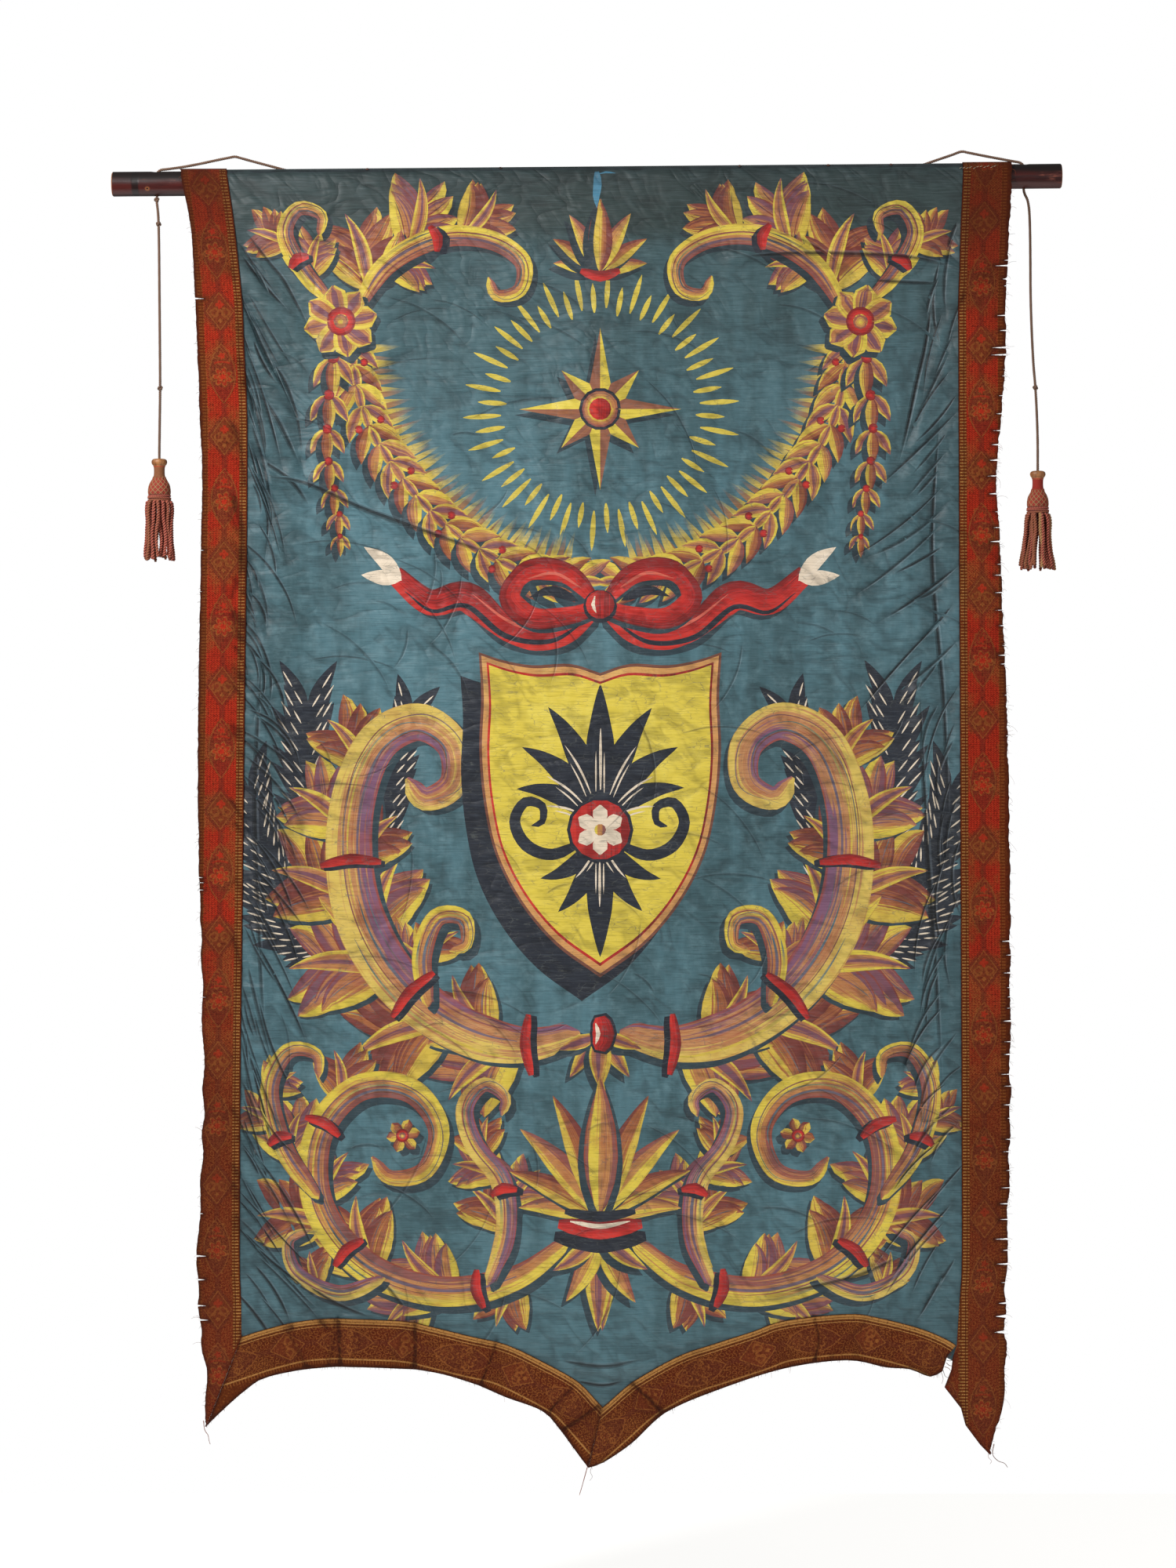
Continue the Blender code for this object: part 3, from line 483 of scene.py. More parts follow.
# Half widths along a stroke, as shares of its widest
PROFILES = {
    "leaf": [(0, 0), (0.08, 0.42), (0.25, 0.85), (0.42, 1), (0.62, 0.86), (0.82, 0.48), (0.94, 0.2), (1, 0)],
    "flame": [(0, 0.5), (0.15, 0.84), (0.38, 1), (0.6, 0.9), (0.78, 0.64), (0.92, 0.3), (1, 0)],
    "band": [(0, 0.86), (0.04, 1), (0.96, 1), (1, 0.86)],
    "vine": [
        (0, 0.1), (0.02, 0.5), (0.15, 0.9), (0.4, 1), (0.75, 0.78), (0.93, 0.52), (0.98, 0.4), (1, 0.08),
    ],
    "dash": [(0, 0.25), (0.2, 0.8), (0.55, 1), (0.85, 0.6), (1, 0.1)],
    "lobe": [(0, 0.35), (0.2, 0.7), (0.5, 0.98), (0.7, 1), (0.86, 0.82), (0.95, 0.52), (1, 0.12)],
    "lens": [(0, 0.45), (0.15, 0.8), (0.5, 1), (0.85, 0.8), (1, 0.45)],
    "swath": [(0, 0.42), (0.12, 0.8), (0.3, 1), (0.45, 0.78), (0.6, 1), (0.8, 0.84), (1, 0.62)],
    "plume": [(0, 0.3), (0.15, 0.62), (0.45, 0.95), (0.7, 1), (0.88, 0.75), (0.97, 0.38), (1, 0)],
}
SHADOW_SHIFT = (-7.5, 9)  # painted shadows fall down and to the left, in millimetres
HAND_SLIP = 1.4  # how far the two sides of the design differ, in millimetres
STROKE_STEP = 9 * MM
CLOSEST = 0.4 * MM  # corners of an outline lie further apart

Mark = namedtuple("Mark", "outline line widths paint side seed")


def stroke(points, width, profile, paint, side=1, seed=0.5):
    """A mark along a line, both in millimetres, as wide as its profile says."""
    flat = as_array(smooth_line(in_metres(points), STROKE_STEP))
    run = run_along(flat)
    shares, factors = zip(*PROFILES[profile])
    half = np.interp(run / run[-1], shares, factors) * width * MM / 2
    aside = leftward(flat) * half[:, None]
    outline = np.concatenate([flat + aside, (flat - aside)[::-1]])
    keep = np.linalg.norm(outline - np.roll(outline, 1, axis=0), axis=1) > CLOSEST
    return Mark(outline[keep], flat, half, paint, side, seed)


def shifted(points, shift=SHADOW_SHIFT):
    """Points moved aside, as far as a painted shadow unless told otherwise."""
    return [(x + shift[0], d + shift[1]) for x, d in points]


class Painter:
    """Keeps the painted marks in order, lowest first. Its places are millimetres from the middle line."""

    def __init__(self, seed):
        self.marks = []
        self.random = random.Random(seed)

    def put(self, points, width, profile, paint, side=1):
        """One stroke of the brush on the pattern."""
        placed = shifted(points, (CENTRE, 0))
        self.marks.append(stroke(placed, width, profile, paint, side, self.random.random()))

    def fill(self, outline, paint, along=(0, 1), side=1):
        """A flat area of paint, brushed along one direction."""
        corners = as_array(in_metres(shifted(outline, (CENTRE, 0))))
        low, high = extent(corners)
        middle = (low + high) / 2
        reach = np.linalg.norm(high - low) / 2
        ahead = np.array(along) / math.hypot(*along)
        line = np.array([middle - ahead * reach, middle + ahead * reach])
        self.marks.append(Mark(corners, line, None, paint, side, self.random.random()))

    def pair(self, points, width, profile, paint, shadow=False, lit=1):
        """The same stroke on both sides of the middle line, as alike as a hand makes them."""
        for side in (1, -1):
            slip = [self.random.uniform(-HAND_SLIP, HAND_SLIP) for _ in range(2)]
            placed = [(side * (x + slip[0]), d + slip[1]) for x, d in points]
            if shadow:
                self.put(shifted(placed), width + 2, profile, "shadow", side)
            self.put(placed, width, profile, paint, side * lit)

    def leaf(self, root, angle, length, width, bend, paint, shadow=False):
        """A leaf on both sides: its root, the way that it points in degrees below outward, and its bend."""
        self.pair(leaf_line(root, angle, length, bend), width, "leaf", paint, shadow)


def leaf_line(root, angle, length, bend):
    """Points on a leaf's middle line, turning evenly by its bend."""
    points = [root]
    steps = 5
    for i in range(steps):
        turn = math.radians(angle + bend * (i / (steps - 1) - 0.5))
        x, d = points[-1]
        points.append((x + length / steps * math.cos(turn), d + length / steps * math.sin(turn)))
    return points


def ring(centre, radius, turns=(0, 360), count=14):
    """Points on a circle, from one turn to another in degrees."""
    x, d = centre
    low, high = turns
    angles = [math.radians(low + (high - low) * i / count) for i in range(count + 1)]
    return [(x + radius * math.cos(a), d + radius * math.sin(a)) for a in angles]


# The painted design, on one side of its middle line: how far out, and how far down, in millimetres
Stem = namedtuple("Stem", "width paint line")
STEMS = {
    "top": Stem(34, "gold", [
        (378, 250), (330, 176), (250, 132), (172, 134), (120, 168), (124, 212), (160, 220), (172, 192),
    ]),
    "corner": Stem(28, "gold", [(410, 232), (452, 186), (482, 128), (462, 88), (426, 98), (430, 130)]),
    "flank": Stem(78, "flesh", [
        (30, 1350), (124, 1368), (226, 1338), (318, 1262), (374, 1152), (382, 1020), (346, 912), (280, 874),
        (226, 908), (224, 968), (268, 992), (296, 960),
    ]),
    "flank_curl": Stem(32, "gold", [
        (262, 1312), (272, 1236), (250, 1176), (208, 1176), (204, 1216), (230, 1226),
    ]),
    "foot": Stem(50, "gold", [
        (46, 1668), (132, 1728), (246, 1748), (362, 1708), (432, 1616), (432, 1508), (372, 1438), (292, 1440),
        (248, 1498), (268, 1562), (322, 1574), (350, 1542),
    ]),
    "foot_inner": Stem(34, "flesh", [
        (172, 1738), (144, 1660), (150, 1580), (192, 1522), (206, 1466),
        (176, 1430), (144, 1450), (150, 1478),
    ]),
    "foot_outer": Stem(32, "gold", [
        (432, 1606), (486, 1528), (508, 1440), (480, 1380), (436, 1384), (432, 1420),
    ]),
    "foot_low": Stem(26, "flesh", [(330, 1726), (402, 1750), (466, 1718), (478, 1670), (446, 1652)]),
}
# Thin strokes on every stem: from and to which share, how far aside as a share of its width, tone and width
STEM_STROKES = [
    (0.02, 0.5, -0.26, "brick", 2.4), (0.2, 0.72, 0.12, "brick", 2.0), (0.06, 0.4, 0.27, "fringe", 4.5),
    (0.38, 0.9, -0.16, "mauve", 4), (0.5, 0.96, 0.16, "brick", 1.8), (0.44, 0.8, 0.02, "fringe", 3),
    (0.1, 0.46, -0.06, "mauve", 5), (0.66, 0.97, -0.2, "umber", 2),
]
# Leaves of flame-like points on a stem: where along it, on which side, how far they lean from it, and
# their size and bend
Frond = namedtuple("Frond", "stem share side lean length width bend paint")
FRONDS = [
    Frond("top", 0.1, 1, 46, 92, 62, 30, "leaf_red"),
    Frond("top", 0.3, 1, 52, 84, 56, 34, "leaf"),
    Frond("top", 0.5, 1, 56, 66, 46, 36, "leaf_red"),
    Frond("top", 0.2, -1, 44, 60, 40, 30, "leaf"),
    Frond("corner", 0.2, -1, 52, 58, 40, 30, "leaf"),
    Frond("corner", 0.45, 1, 48, 50, 36, 26, "leaf_red"),
    Frond("flank", 0.1, 1, 46, 104, 74, 34, "leaf"),
    Frond("flank", 0.21, 1, 50, 118, 84, 34, "leaf_red"),
    Frond("flank", 0.33, 1, 52, 118, 84, 34, "leaf"),
    Frond("flank", 0.45, 1, 56, 104, 76, 34, "leaf_red"),
    Frond("flank", 0.56, 1, 58, 88, 66, 34, "leaf"),
    Frond("flank", 0.66, 1, 60, 70, 54, 34, "leaf_red"),
    Frond("flank", 0.14, -1, 44, 88, 60, 30, "leaf_red"),
    Frond("flank", 0.38, -1, 44, 108, 72, 34, "leaf"),
    Frond("flank", 0.5, -1, 46, 84, 58, 34, "leaf_red"),
    Frond("flank_curl", 0.25, 1, 50, 56, 40, 28, "leaf"),
    Frond("flank_curl", 0.3, -1, 48, 52, 38, 28, "leaf_red"),
    Frond("foot", 0.1, 1, 44, 62, 46, 24, "leaf_red"),
    Frond("foot", 0.24, 1, 50, 66, 48, 24, "leaf"),
    Frond("foot", 0.43, 1, 52, 84, 58, 34, "leaf_red"),
    Frond("foot", 0.54, 1, 56, 76, 54, 34, "leaf"),
    Frond("foot", 0.64, 1, 56, 60, 44, 34, "leaf_red"),
    Frond("foot", 0.2, -1, 46, 86, 58, 34, "leaf"),
    Frond("foot", 0.33, -1, 46, 92, 62, 34, "leaf_red"),
    Frond("foot", 0.47, -1, 46, 70, 50, 30, "leaf"),
    Frond("foot_inner", 0.22, 1, 46, 66, 46, 30, "leaf_red"),
    Frond("foot_inner", 0.42, 1, 46, 56, 40, 30, "leaf"),
    Frond("foot_inner", 0.3, -1, 46, 60, 44, 30, "leaf"),
    Frond("foot_inner", 0.52, -1, 48, 46, 34, 30, "leaf_red"),
    Frond("foot_outer", 0.22, -1, 46, 58, 42, 28, "leaf"),
    Frond("foot_outer", 0.4, 1, 48, 44, 34, 28, "leaf_red"),
    Frond("foot_outer", 0.55, -1, 50, 40, 30, 28, "leaf"),
    Frond("foot_low", 0.45, -1, 50, 44, 32, 24, "leaf_red"),
]
# Bands tied round the stems: which stem, and where along it
TIES = [
    ("top", 0.4), ("flank", 0.08), ("flank", 0.28), ("flank", 0.51), ("foot", 0.16),
    ("foot", 0.38), ("foot", 0.59), ("foot_outer", 0.32), ("foot_inner", 0.36), ("corner", 0.32),
]
FROND_GROWTH = 1.16  # the fronds grew this much on the cloth
GARLAND = [(388, 284), (350, 426), (252, 560), (128, 640), (0, 662)]
STAR = (0, 396)
SHIELD = [
    (0, 800), (46, 786), (104, 788), (150, 780), (186, 768), (182, 836), (185, 916), (178, 998), (160, 1078),
    (122, 1152), (68, 1216), (0, 1266),
]
ROUNDEL = (0, 1040)
COLLAR = 1644


def stem_places(line, shares):
    """Place and heading, in degrees, at some shares of a stem's length."""
    flat = as_array(smooth_line(line, 6))
    run = run_along(flat)
    found = []
    for share in shares:
        here, ahead = (
            np.array([np.interp(s * run[-1], run, axis) for axis in flat.T]) for s in (share, share + 0.01)
        )
        heading = math.degrees(math.atan2(*(ahead - here)[::-1]))
        found.append(((here[0], here[1]), heading))
    return found


def paint_frond(painter, root, angle, length, width, bend, paint):
    """A leaf of flame-like points: its shadow, its side points from the tip down, and its middle one."""
    middle = leaf_line(root, angle, length * FROND_GROWTH, bend)
    points = []
    for number, share in enumerate((0.6, 0.4, 0.22, 0.04)):
        place, heading = stem_places(middle, [share])[0]
        for side in (1, -1):
            size = width * (1.3 - 0.66 * share) * painter.random.uniform(0.86, 1.14)
            turn = heading + side * (50 - 12 * share + painter.random.uniform(-6, 6))
            points.append((leaf_line(place, turn, size, -side * 40 + side * 22 * number), size * 0.5, side))
    for line, size, side in points:
        painter.pair(shifted(line, (-5, 6)), size, "flame", "shadow")
    for line, size, side in points:
        painter.pair(line, size, "flame", paint, lit=side)
        painter.pair(shifted(line[:-1], (0.1 * size, -0.06 * size)), 2, "dash", "brick")
    painter.pair(middle, width * 0.34, "leaf", "leaf")


def paint_fronds(painter):
    """The curling leaves of every stem."""
    for frond in FRONDS:
        stem = STEMS[frond.stem]
        root, heading = stem_places(stem.line, [frond.share])[0]
        angle = heading + frond.side * frond.lean
        length, width = frond.length * FROND_GROWTH, frond.width * 1.2
        paint = "leaf_gold" if frond.paint == "leaf" else frond.paint
        paint_frond(painter, root, angle, length, width, frond.side * frond.bend, paint)


def paint_stem(painter, stem):
    """A stem with its painted shadow, and the long thin strokes that model it."""
    painter.pair(shifted(stem.line), stem.width, "vine", "shadow")
    painter.pair(stem.line, stem.width, "vine", stem.paint)
    for low, high, aside, tone, size in STEM_STROKES:
        reach = aside * stem.width
        line = []
        for (x, d), heading in stem_places(stem.line, np.linspace(low, high, 9)):
            turn = math.radians(heading + 90)
            line.append((x + reach * math.cos(turn), d + reach * math.sin(turn)))
        painter.pair(line, size, "dash", tone)


def paint_tie(painter, stem, share):
    """A red band round a stem."""
    (x, d), heading = stem_places(stem.line, [share])[0]
    turn = math.radians(heading + 90)
    reach = stem.width * 0.6
    step = (math.cos(turn) * reach, math.sin(turn) * reach)
    bulge = (math.cos(math.radians(heading)) * 7, math.sin(math.radians(heading)) * 7)
    across = [(x - step[0], d - step[1]), (x + bulge[0], d + bulge[1]), (x + step[0], d + step[1])]
    painter.pair(shifted(across, (SHADOW_SHIFT[0], 4)), 20, "lens", "ink")
    painter.pair(across, 17, "lens", "red")


def paint_rosette(painter, centre, radius, petals, paint):
    """A round flower on each side."""
    for shift, tone in ((SHADOW_SHIFT, "shadow"), ((0, 0), paint)):
        for i in range(petals):
            angle = 360 / petals * i + 11
            root, = shifted([centre], shift)
            painter.pair(leaf_line(root, angle, radius, 0), radius * 0.66, "lobe", tone)
    painter.pair(ring(centre, radius * 0.3), radius * 0.2, "band", "red")
    painter.pair(ring(centre, radius * 0.1, count=8), radius * 0.2, "band", "gold")


def paint_garland(painter):
    """A golden fringe, laurel leaves in pairs along the garland, and husks that hang from its ends."""
    for number, (root, heading) in enumerate(stem_places(GARLAND, np.linspace(0.03, 0.9, 74))):
        turn = heading + 80 + 5 * math.sin(number * 1.9)
        size = 74 + 7 * math.sin(number * 2.3)
        tone = "fringe_dark" if number % 3 == 2 else "fringe"
        painter.pair(leaf_line(root, turn, size, 8), 9, "leaf", tone)
    for number, (root, heading) in enumerate(stem_places(GARLAND, np.linspace(0.02, 0.94, 18))):
        tone = ("leaf", "leaf_red", "gold")[number % 3]
        for side in (1, -1):
            painter.leaf(root, heading + side * 36, 62, 24, -side * 22, tone, True)
        painter.leaf(root, heading, 48, 17, 0, "leaf")
        if number % 3 == 1:
            for side in (1, -1):
                turn = math.radians(heading + side * 90)
                berry = (root[0] + 17 * math.cos(turn), root[1] + 17 * math.sin(turn))
                painter.pair(ring(berry, 3, count=8), 7, "band", "red")
    for number in range(7):
        size = 1 - 0.085 * number
        root = (408 + 10 * math.sin(number * 0.8), 316 + 60 * number - 2.4 * number**2)
        for spread, length, tone in ((34, 56, "leaf"), (-34, 56, "leaf"), (0, 68, "leaf_red")):
            painter.leaf(root, 90 + spread, length * size, 23 * size, -spread * 0.6, tone, True)
        painter.pair(ring(root, 5 * size, count=8), 9 * size, "band", "red")


def paint_star(painter):
    """A faceted star with short rays round it."""
    rays = 52
    for i in range(rays):
        angle = math.radians(360 * (i + 0.5) / rays)
        low = 146 + 7 * (i % 2) + painter.random.uniform(-3, 3)
        high = low + (58 if i % 2 else 42) + painter.random.uniform(-4, 4)
        ends = [(STAR[0] + r * math.cos(angle), STAR[1] + r * math.sin(angle)) for r in (low, high)]
        painter.put(ends, 8.5, "dash", "ray")
    tips = [(124 if k % 2 == 0 else 84, math.radians(45 * k)) for k in range(8)]
    valley = 42
    for shift, tones in ((SHADOW_SHIFT, ("shadow", "shadow")), ((0, 0), ("facet", "facet_dark"))):
        x, d = STAR[0] + shift[0], STAR[1] + shift[1]
        for reach, angle in sorted(tips):
            way = (math.cos(angle), math.sin(angle))
            tip = (x + reach * way[0], d + reach * way[1])
            for side, tone in zip((1, -1), tones):
                turn = angle + side * math.radians(22.5)
                low = (x + valley * math.cos(turn), d + valley * math.sin(turn))
                painter.fill([(x, d), tip, low], tone, way)
    painter.put(ring(STAR, 27), 11, "band", "ink")
    painter.put(ring(STAR, 22), 12, "band", "gold")
    painter.fill(ring(STAR, 17), "red")


def paint_bow(painter):
    """A tied red ribbon with cream ends."""
    tail = [(8, 704), (70, 740), (142, 730), (206, 682), (262, 690), (316, 648)]
    painter.pair(shifted(tail, (-6, 10)), 46, "vine", "shadow")
    painter.pair(tail, 48, "swath", "red")
    for bend, end in ((-16, (362, 606)), (12, (366, 650))):
        painter.pair([(304, 658), (332, 642 + bend), end], 24, "leaf", "cream")
    painter.pair([(20, 718), (76, 752), (146, 744), (206, 698), (258, 706), (300, 676)], 9, "dash", "ink")
    painter.pair([(30, 712), (84, 734), (140, 720), (196, 678)], 5, "dash", "red_light")
    loop = [(6, 692), (52, 648), (112, 644), (140, 684), (104, 716), (46, 712), (8, 700)]
    painter.pair(shifted(loop, (-5, 8)), 34, "vine", "shadow")
    painter.pair(loop, 36, "swath", "red")
    painter.pair([(32, 690), (72, 674), (108, 684)], 17, "leaf", "ink")
    painter.pair([(30, 668), (70, 646), (112, 654)], 5, "dash", "red_light")
    painter.fill(ring((0, 698), 26), "ink")
    painter.fill(ring((0, 695), 22), "red")
    painter.put([(-8, 682), (-11, 695), (-6, 708)], 6, "dash", "cream")


def paint_shield(painter):
    """A yellow shield with a black palmette and a red and cream flower."""
    middle = Vector((0, 1000))
    corners = [Vector(p) for p in SHIELD]
    half = [tuple(p) for p in smooth_line(corners[4:], 16)]
    top = [tuple(p) for p in smooth_line(corners[:5], 12)]
    right = top[:-1] + half
    outline = right + [(-x, d) for x, d in right[-2:0:-1]]

    def scaled(size, shift=(0, 0)):
        return [tuple((Vector(p) - middle) * size + middle + Vector(shift)) for p in outline]

    painter.fill(scaled(1.0, (-28, 36)), "ink")
    painter.fill(scaled(1.0), "umber")
    painter.fill(scaled(0.978), "tan")
    painter.fill(scaled(0.935), "red")
    painter.fill(scaled(0.916), "field")
    for angle, length, width, bend in (
        (-90, 212, 46, 0), (-67, 196, 41, 26), (-45, 170, 37, 36), (-23, 142, 32, 44),
        (90, 184, 42, 0), (62, 134, 33, -34), (36, 114, 28, -46),
    ):
        root = (3 if abs(angle) < 90 else 0, ROUNDEL[1] + math.copysign(10, angle))
        painter.leaf(root, angle, length, width, bend, "ink")
    curl = [(24, 1058), (72, 1078), (112, 1064), (130, 1028), (114, 998), (88, 1004), (88, 1028), (104, 1034)]
    painter.pair(curl, 19, "vine", "ink")
    for angle, length, bend in (
        (-90, 156, 0), (-67, 142, 22), (-45, 120, 32), (-23, 94, 40), (90, 118, 0), (62, 84, -28),
    ):
        line = leaf_line((0, ROUNDEL[1]), angle, length, bend)[2:]
        painter.pair(line, 3.6, "dash", "cream")
        painter.pair(shifted(line[:-1], (6 if angle < 0 else -6, 5)), 2.6, "dash", "cream")
    painter.fill(ring(ROUNDEL, 51), "ink")
    painter.fill(ring(ROUNDEL, 46), "red")
    for i in range(6):
        angle = math.radians(60 * i - 90)
        ends = [(ROUNDEL[0] + r * math.cos(angle), ROUNDEL[1] + r * math.sin(angle)) for r in (5, 38)]
        painter.put(ends, 23, "lobe", "cream")
    painter.fill(ring(ROUNDEL, 9, count=10), "gold")


def paint_plumes(painter):
    """Black plumes with pale barbs behind the flanking stems."""
    for angle, length, width, bend in (
        (-30, 215, 96, -62), (-52, 330, 112, -48), (-74, 400, 116, -32), (-97, 372, 92, -18),
    ):
        line = leaf_line((340, 1236), angle, length, bend)
        painter.pair(line, width * 0.5, "plume", "ink")
        places = stem_places(line, np.linspace(0.1, 0.98, 15))
        for number, (place, heading) in enumerate(places):
            size = width * (0.86 + 0.16 * math.sin(number * 2.4)) * (1 - 0.35 * abs(number / 14 - 0.55))
            for side in (1, -1):
                painter.leaf(place, heading + side * 27, size, 25, side * 8, "ink")
        for number, (place, heading) in enumerate(places):
            for side in (1, -1):
                turn = heading + side * 27
                way = (math.cos(math.radians(turn)), math.sin(math.radians(turn)))
                for reach, run in ((0.2, 0.2), (0.46, 0.24)):
                    start = width * (reach + 0.05 * math.sin(number * 1.7 + side))
                    root = (place[0] + start * way[0], place[1] + start * way[1])
                    painter.pair(leaf_line(root, turn + side * 4, width * run, 0), 2.6, "dash", "cream")


def paint_fan(painter):
    """A palmette that rises from a red and black collar, and drops below it."""
    for number, angle in enumerate((84, 63, 42, 21, 0)):
        inner = 4 - number
        length, width = 214 - 26 * inner * 0.4 - 3 * inner**2, 46 - 3 * inner
        for shift, tone in ((SHADOW_SHIFT, "shadow"), ((0, 0), "leaf_red" if number % 2 else "gold")):
            root, = shifted([(2, COLLAR - 12)], shift)
            painter.leaf(root, -90 + angle, length, width, 10 + angle / 5, tone)
    for angle, length, width, bend, tone in (
        (90, 150, 42, 0, "leaf"), (64, 118, 34, -20, "gold"), (38, 92, 28, -20, "leaf"),
    ):
        painter.leaf((2, COLLAR + 14), angle, length, width, bend, tone, True)
    for reach, end, middle, width, profile, tone in (
        (70, 18, 28, 32, "lens", "ink"), (64, -1, 8, 30, "lens", "red"),
        (46, -5, 3, 8, "dash", "cream"), (54, -20, -12, 17, "lens", "ink"),
    ):
        line = [(-reach, COLLAR + end), (0, COLLAR + middle), (reach, COLLAR + end)]
        painter.put(line, width, profile, tone)


def paint_clasp(painter):
    """The red clasp where the flanking stems cross, with leaves above and below it."""
    for angle, length, width in ((56, 78, 26), (20, 66, 22), (90, 78, 30)):
        painter.leaf((2, 1354), angle, length, width, 0, "leaf", True)
    painter.put([(0, 1322), (5, 1352), (0, 1382)], 42, "lens", "ink")
    painter.put([(0, 1326), (5, 1352), (0, 1378)], 34, "lens", "red")
    painter.put([(-7, 1336), (-3, 1352), (-7, 1368)], 7, "dash", "cream")


def paint_crest(painter):
    """A small palmette at the top middle."""
    for number, angle in enumerate((80, 54, 27, 0)):
        paint = "leaf_red" if number % 2 else "gold"
        painter.leaf((2, 186), -90 + angle, 72 + 14 * number, 24 + 2 * number, 16, paint, True)
    painter.put([(-30, 184), (0, 193), (30, 184)], 17, "lens", "red")


def paint_clean_strip(painter):
    """A strip of brighter cloth under the pole, where the soil has come away."""
    painter.put([(-5, 31), (-4, 52), (-6, 70), (-5, 88)], 13, "flame", "clean")
    painter.put([(-4, 36), (8, 32), (24, 34)], 4, "dash", "clean")


def painted_marks():
    """The whole design, lowest mark first."""
    painter = Painter(5)
    paint_star(painter)
    paint_plumes(painter)
    paint_fronds(painter)
    for stem in STEMS.values():
        paint_stem(painter, stem)
    for stem, share in TIES:
        paint_tie(painter, STEMS[stem], share)
    paint_crest(painter)
    paint_clean_strip(painter)
    paint_garland(painter)
    paint_rosette(painter, (398, 262), 56, 8, "leaf")
    paint_rosette(painter, (302, 1508), 26, 6, "leaf_red")
    paint_bow(painter)
    paint_clasp(painter)
    paint_fan(painter)
    paint_shield(painter)
    return painter.marks


# Materials


class Value:
    """A socket's value in an expression: each operator adds the node that works it out."""

    def __init__(self, shading, socket):
        self.shading = shading
        self.socket = socket

    def __add__(self, other):
        return self.shading.maths("ADD", self, other)

    def __sub__(self, other):
        return self.shading.maths("SUBTRACT", self, other)

    def __mul__(self, other):
        return self.shading.maths("MULTIPLY", self, other)

    def __truediv__(self, other):
        return self.shading.maths("DIVIDE", self, other)

    def __mod__(self, other):
        return self.shading.maths("FLOORED_MODULO", self, other)

    def __gt__(self, other):
        return self.shading.maths("GREATER_THAN", self, other)

    def __lt__(self, other):
        return self.shading.maths("LESS_THAN", self, other)

    def __rsub__(self, other):
        return self.shading.maths("SUBTRACT", other, self)

    def __rtruediv__(self, other):
        return self.shading.maths("DIVIDE", other, self)

    def __neg__(self):
        return self.shading.maths("MULTIPLY", self, -1)

    def __abs__(self):
        return self.shading.maths("ABSOLUTE", self)

    __radd__ = __add__
    __rmul__ = __mul__


class Shading:
    """One material and the nodes that make it."""

    def __init__(self, name):
        self.material = bpy.data.materials.new(name)
        self.material.use_nodes = True
        self.tree = self.material.node_tree
        self.tree.nodes.clear()

    def node(self, kind, settings=None, sockets=None, out=0):
        """Adds a node of a kind, its settings first, then the values or links of its sockets."""
        made = self.tree.nodes.new(kind)
        for name, value in (settings or {}).items():
            setattr(made, name, value)
        for name, value in (sockets or {}).items():
            if isinstance(value, Value):
                self.tree.links.new(value.socket, made.inputs[name])
            else:
                made.inputs[name].default_value = value
        return Value(self, made.outputs[out])

    def maths(self, operation, *values):
        """A Math node."""
        return self.node("ShaderNodeMath", {"operation": operation}, dict(enumerate(values)))

    def largest(self, *values):
        """The greatest of some values."""
        most = values[0]
        for value in values[1:]:
            most = self.maths("MAXIMUM", most, value)
        return most

    def ramp(self, value, low, high):
        """A soft step from 0 at low to 1 at high."""
        settings = {"interpolation_type": "SMOOTHSTEP"}
        return self.node("ShaderNodeMapRange", settings, {"Value": value, "From Min": low, "From Max": high})

    def near(self, value, middle, reach):
        """1 where a value is close to a middle, 0 past its reach."""
        return 1 - self.ramp(abs(value - middle), reach * 0.5, reach)

    def mix(self, factor, low, high, blend="MIX"):
        """A colour between two colours."""
        settings = {"data_type": "RGBA", "blend_type": blend, "clamp_factor": True}
        return self.node("ShaderNodeMix", settings, {0: factor, 6: low, 7: high}, 2)

    def attribute(self, name, out="Vector"):
        """A mesh attribute."""
        return self.node("ShaderNodeAttribute", {"attribute_name": name}, None, out)

    def parts(self, vector):
        """The three numbers of a vector."""
        apart = self.tree.nodes.new("ShaderNodeSeparateXYZ")
        self.tree.links.new(vector.socket, apart.inputs[0])
        return [Value(self, socket) for socket in apart.outputs]

    def vector(self, x=0.0, y=0.0, z=0.0):
        """A vector of three numbers."""
        return self.node("ShaderNodeCombineXYZ", None, {"X": x, "Y": y, "Z": z})

    def noise(self, place, scale, detail=2.0, roughness=0.5, distortion=0.0):
        """Soft noise from 0 to 1."""
        sockets = {"Vector": place, "Scale": scale, "Detail": detail, "Roughness": roughness}
        return self.node("ShaderNodeTexNoise", None, {**sockets, "Distortion": distortion})

    def place(self):
        """Where a point lies on the object, in metres."""
        return self.node("ShaderNodeTexCoord", None, None, "Object")

    def bump(self, height, distance, strength=1.0, normal=None):
        """A normal from a height in units of a distance in metres."""
        sockets = {"Height": height, "Distance": distance, "Strength": strength}
        if normal is not None:
            sockets["Normal"] = normal
        return self.node("ShaderNodeBump", None, sockets)

    def finish(self, **sockets):
        """Ends the material in its surface and gives it back."""
        named = {name.replace("_", " "): value for name, value in sockets.items()}
        surface = self.node("ShaderNodeBsdfPrincipled", None, named)
        out = self.tree.nodes.new("ShaderNodeOutputMaterial")
        self.tree.links.new(surface.socket, out.inputs["Surface"])
        return self.material


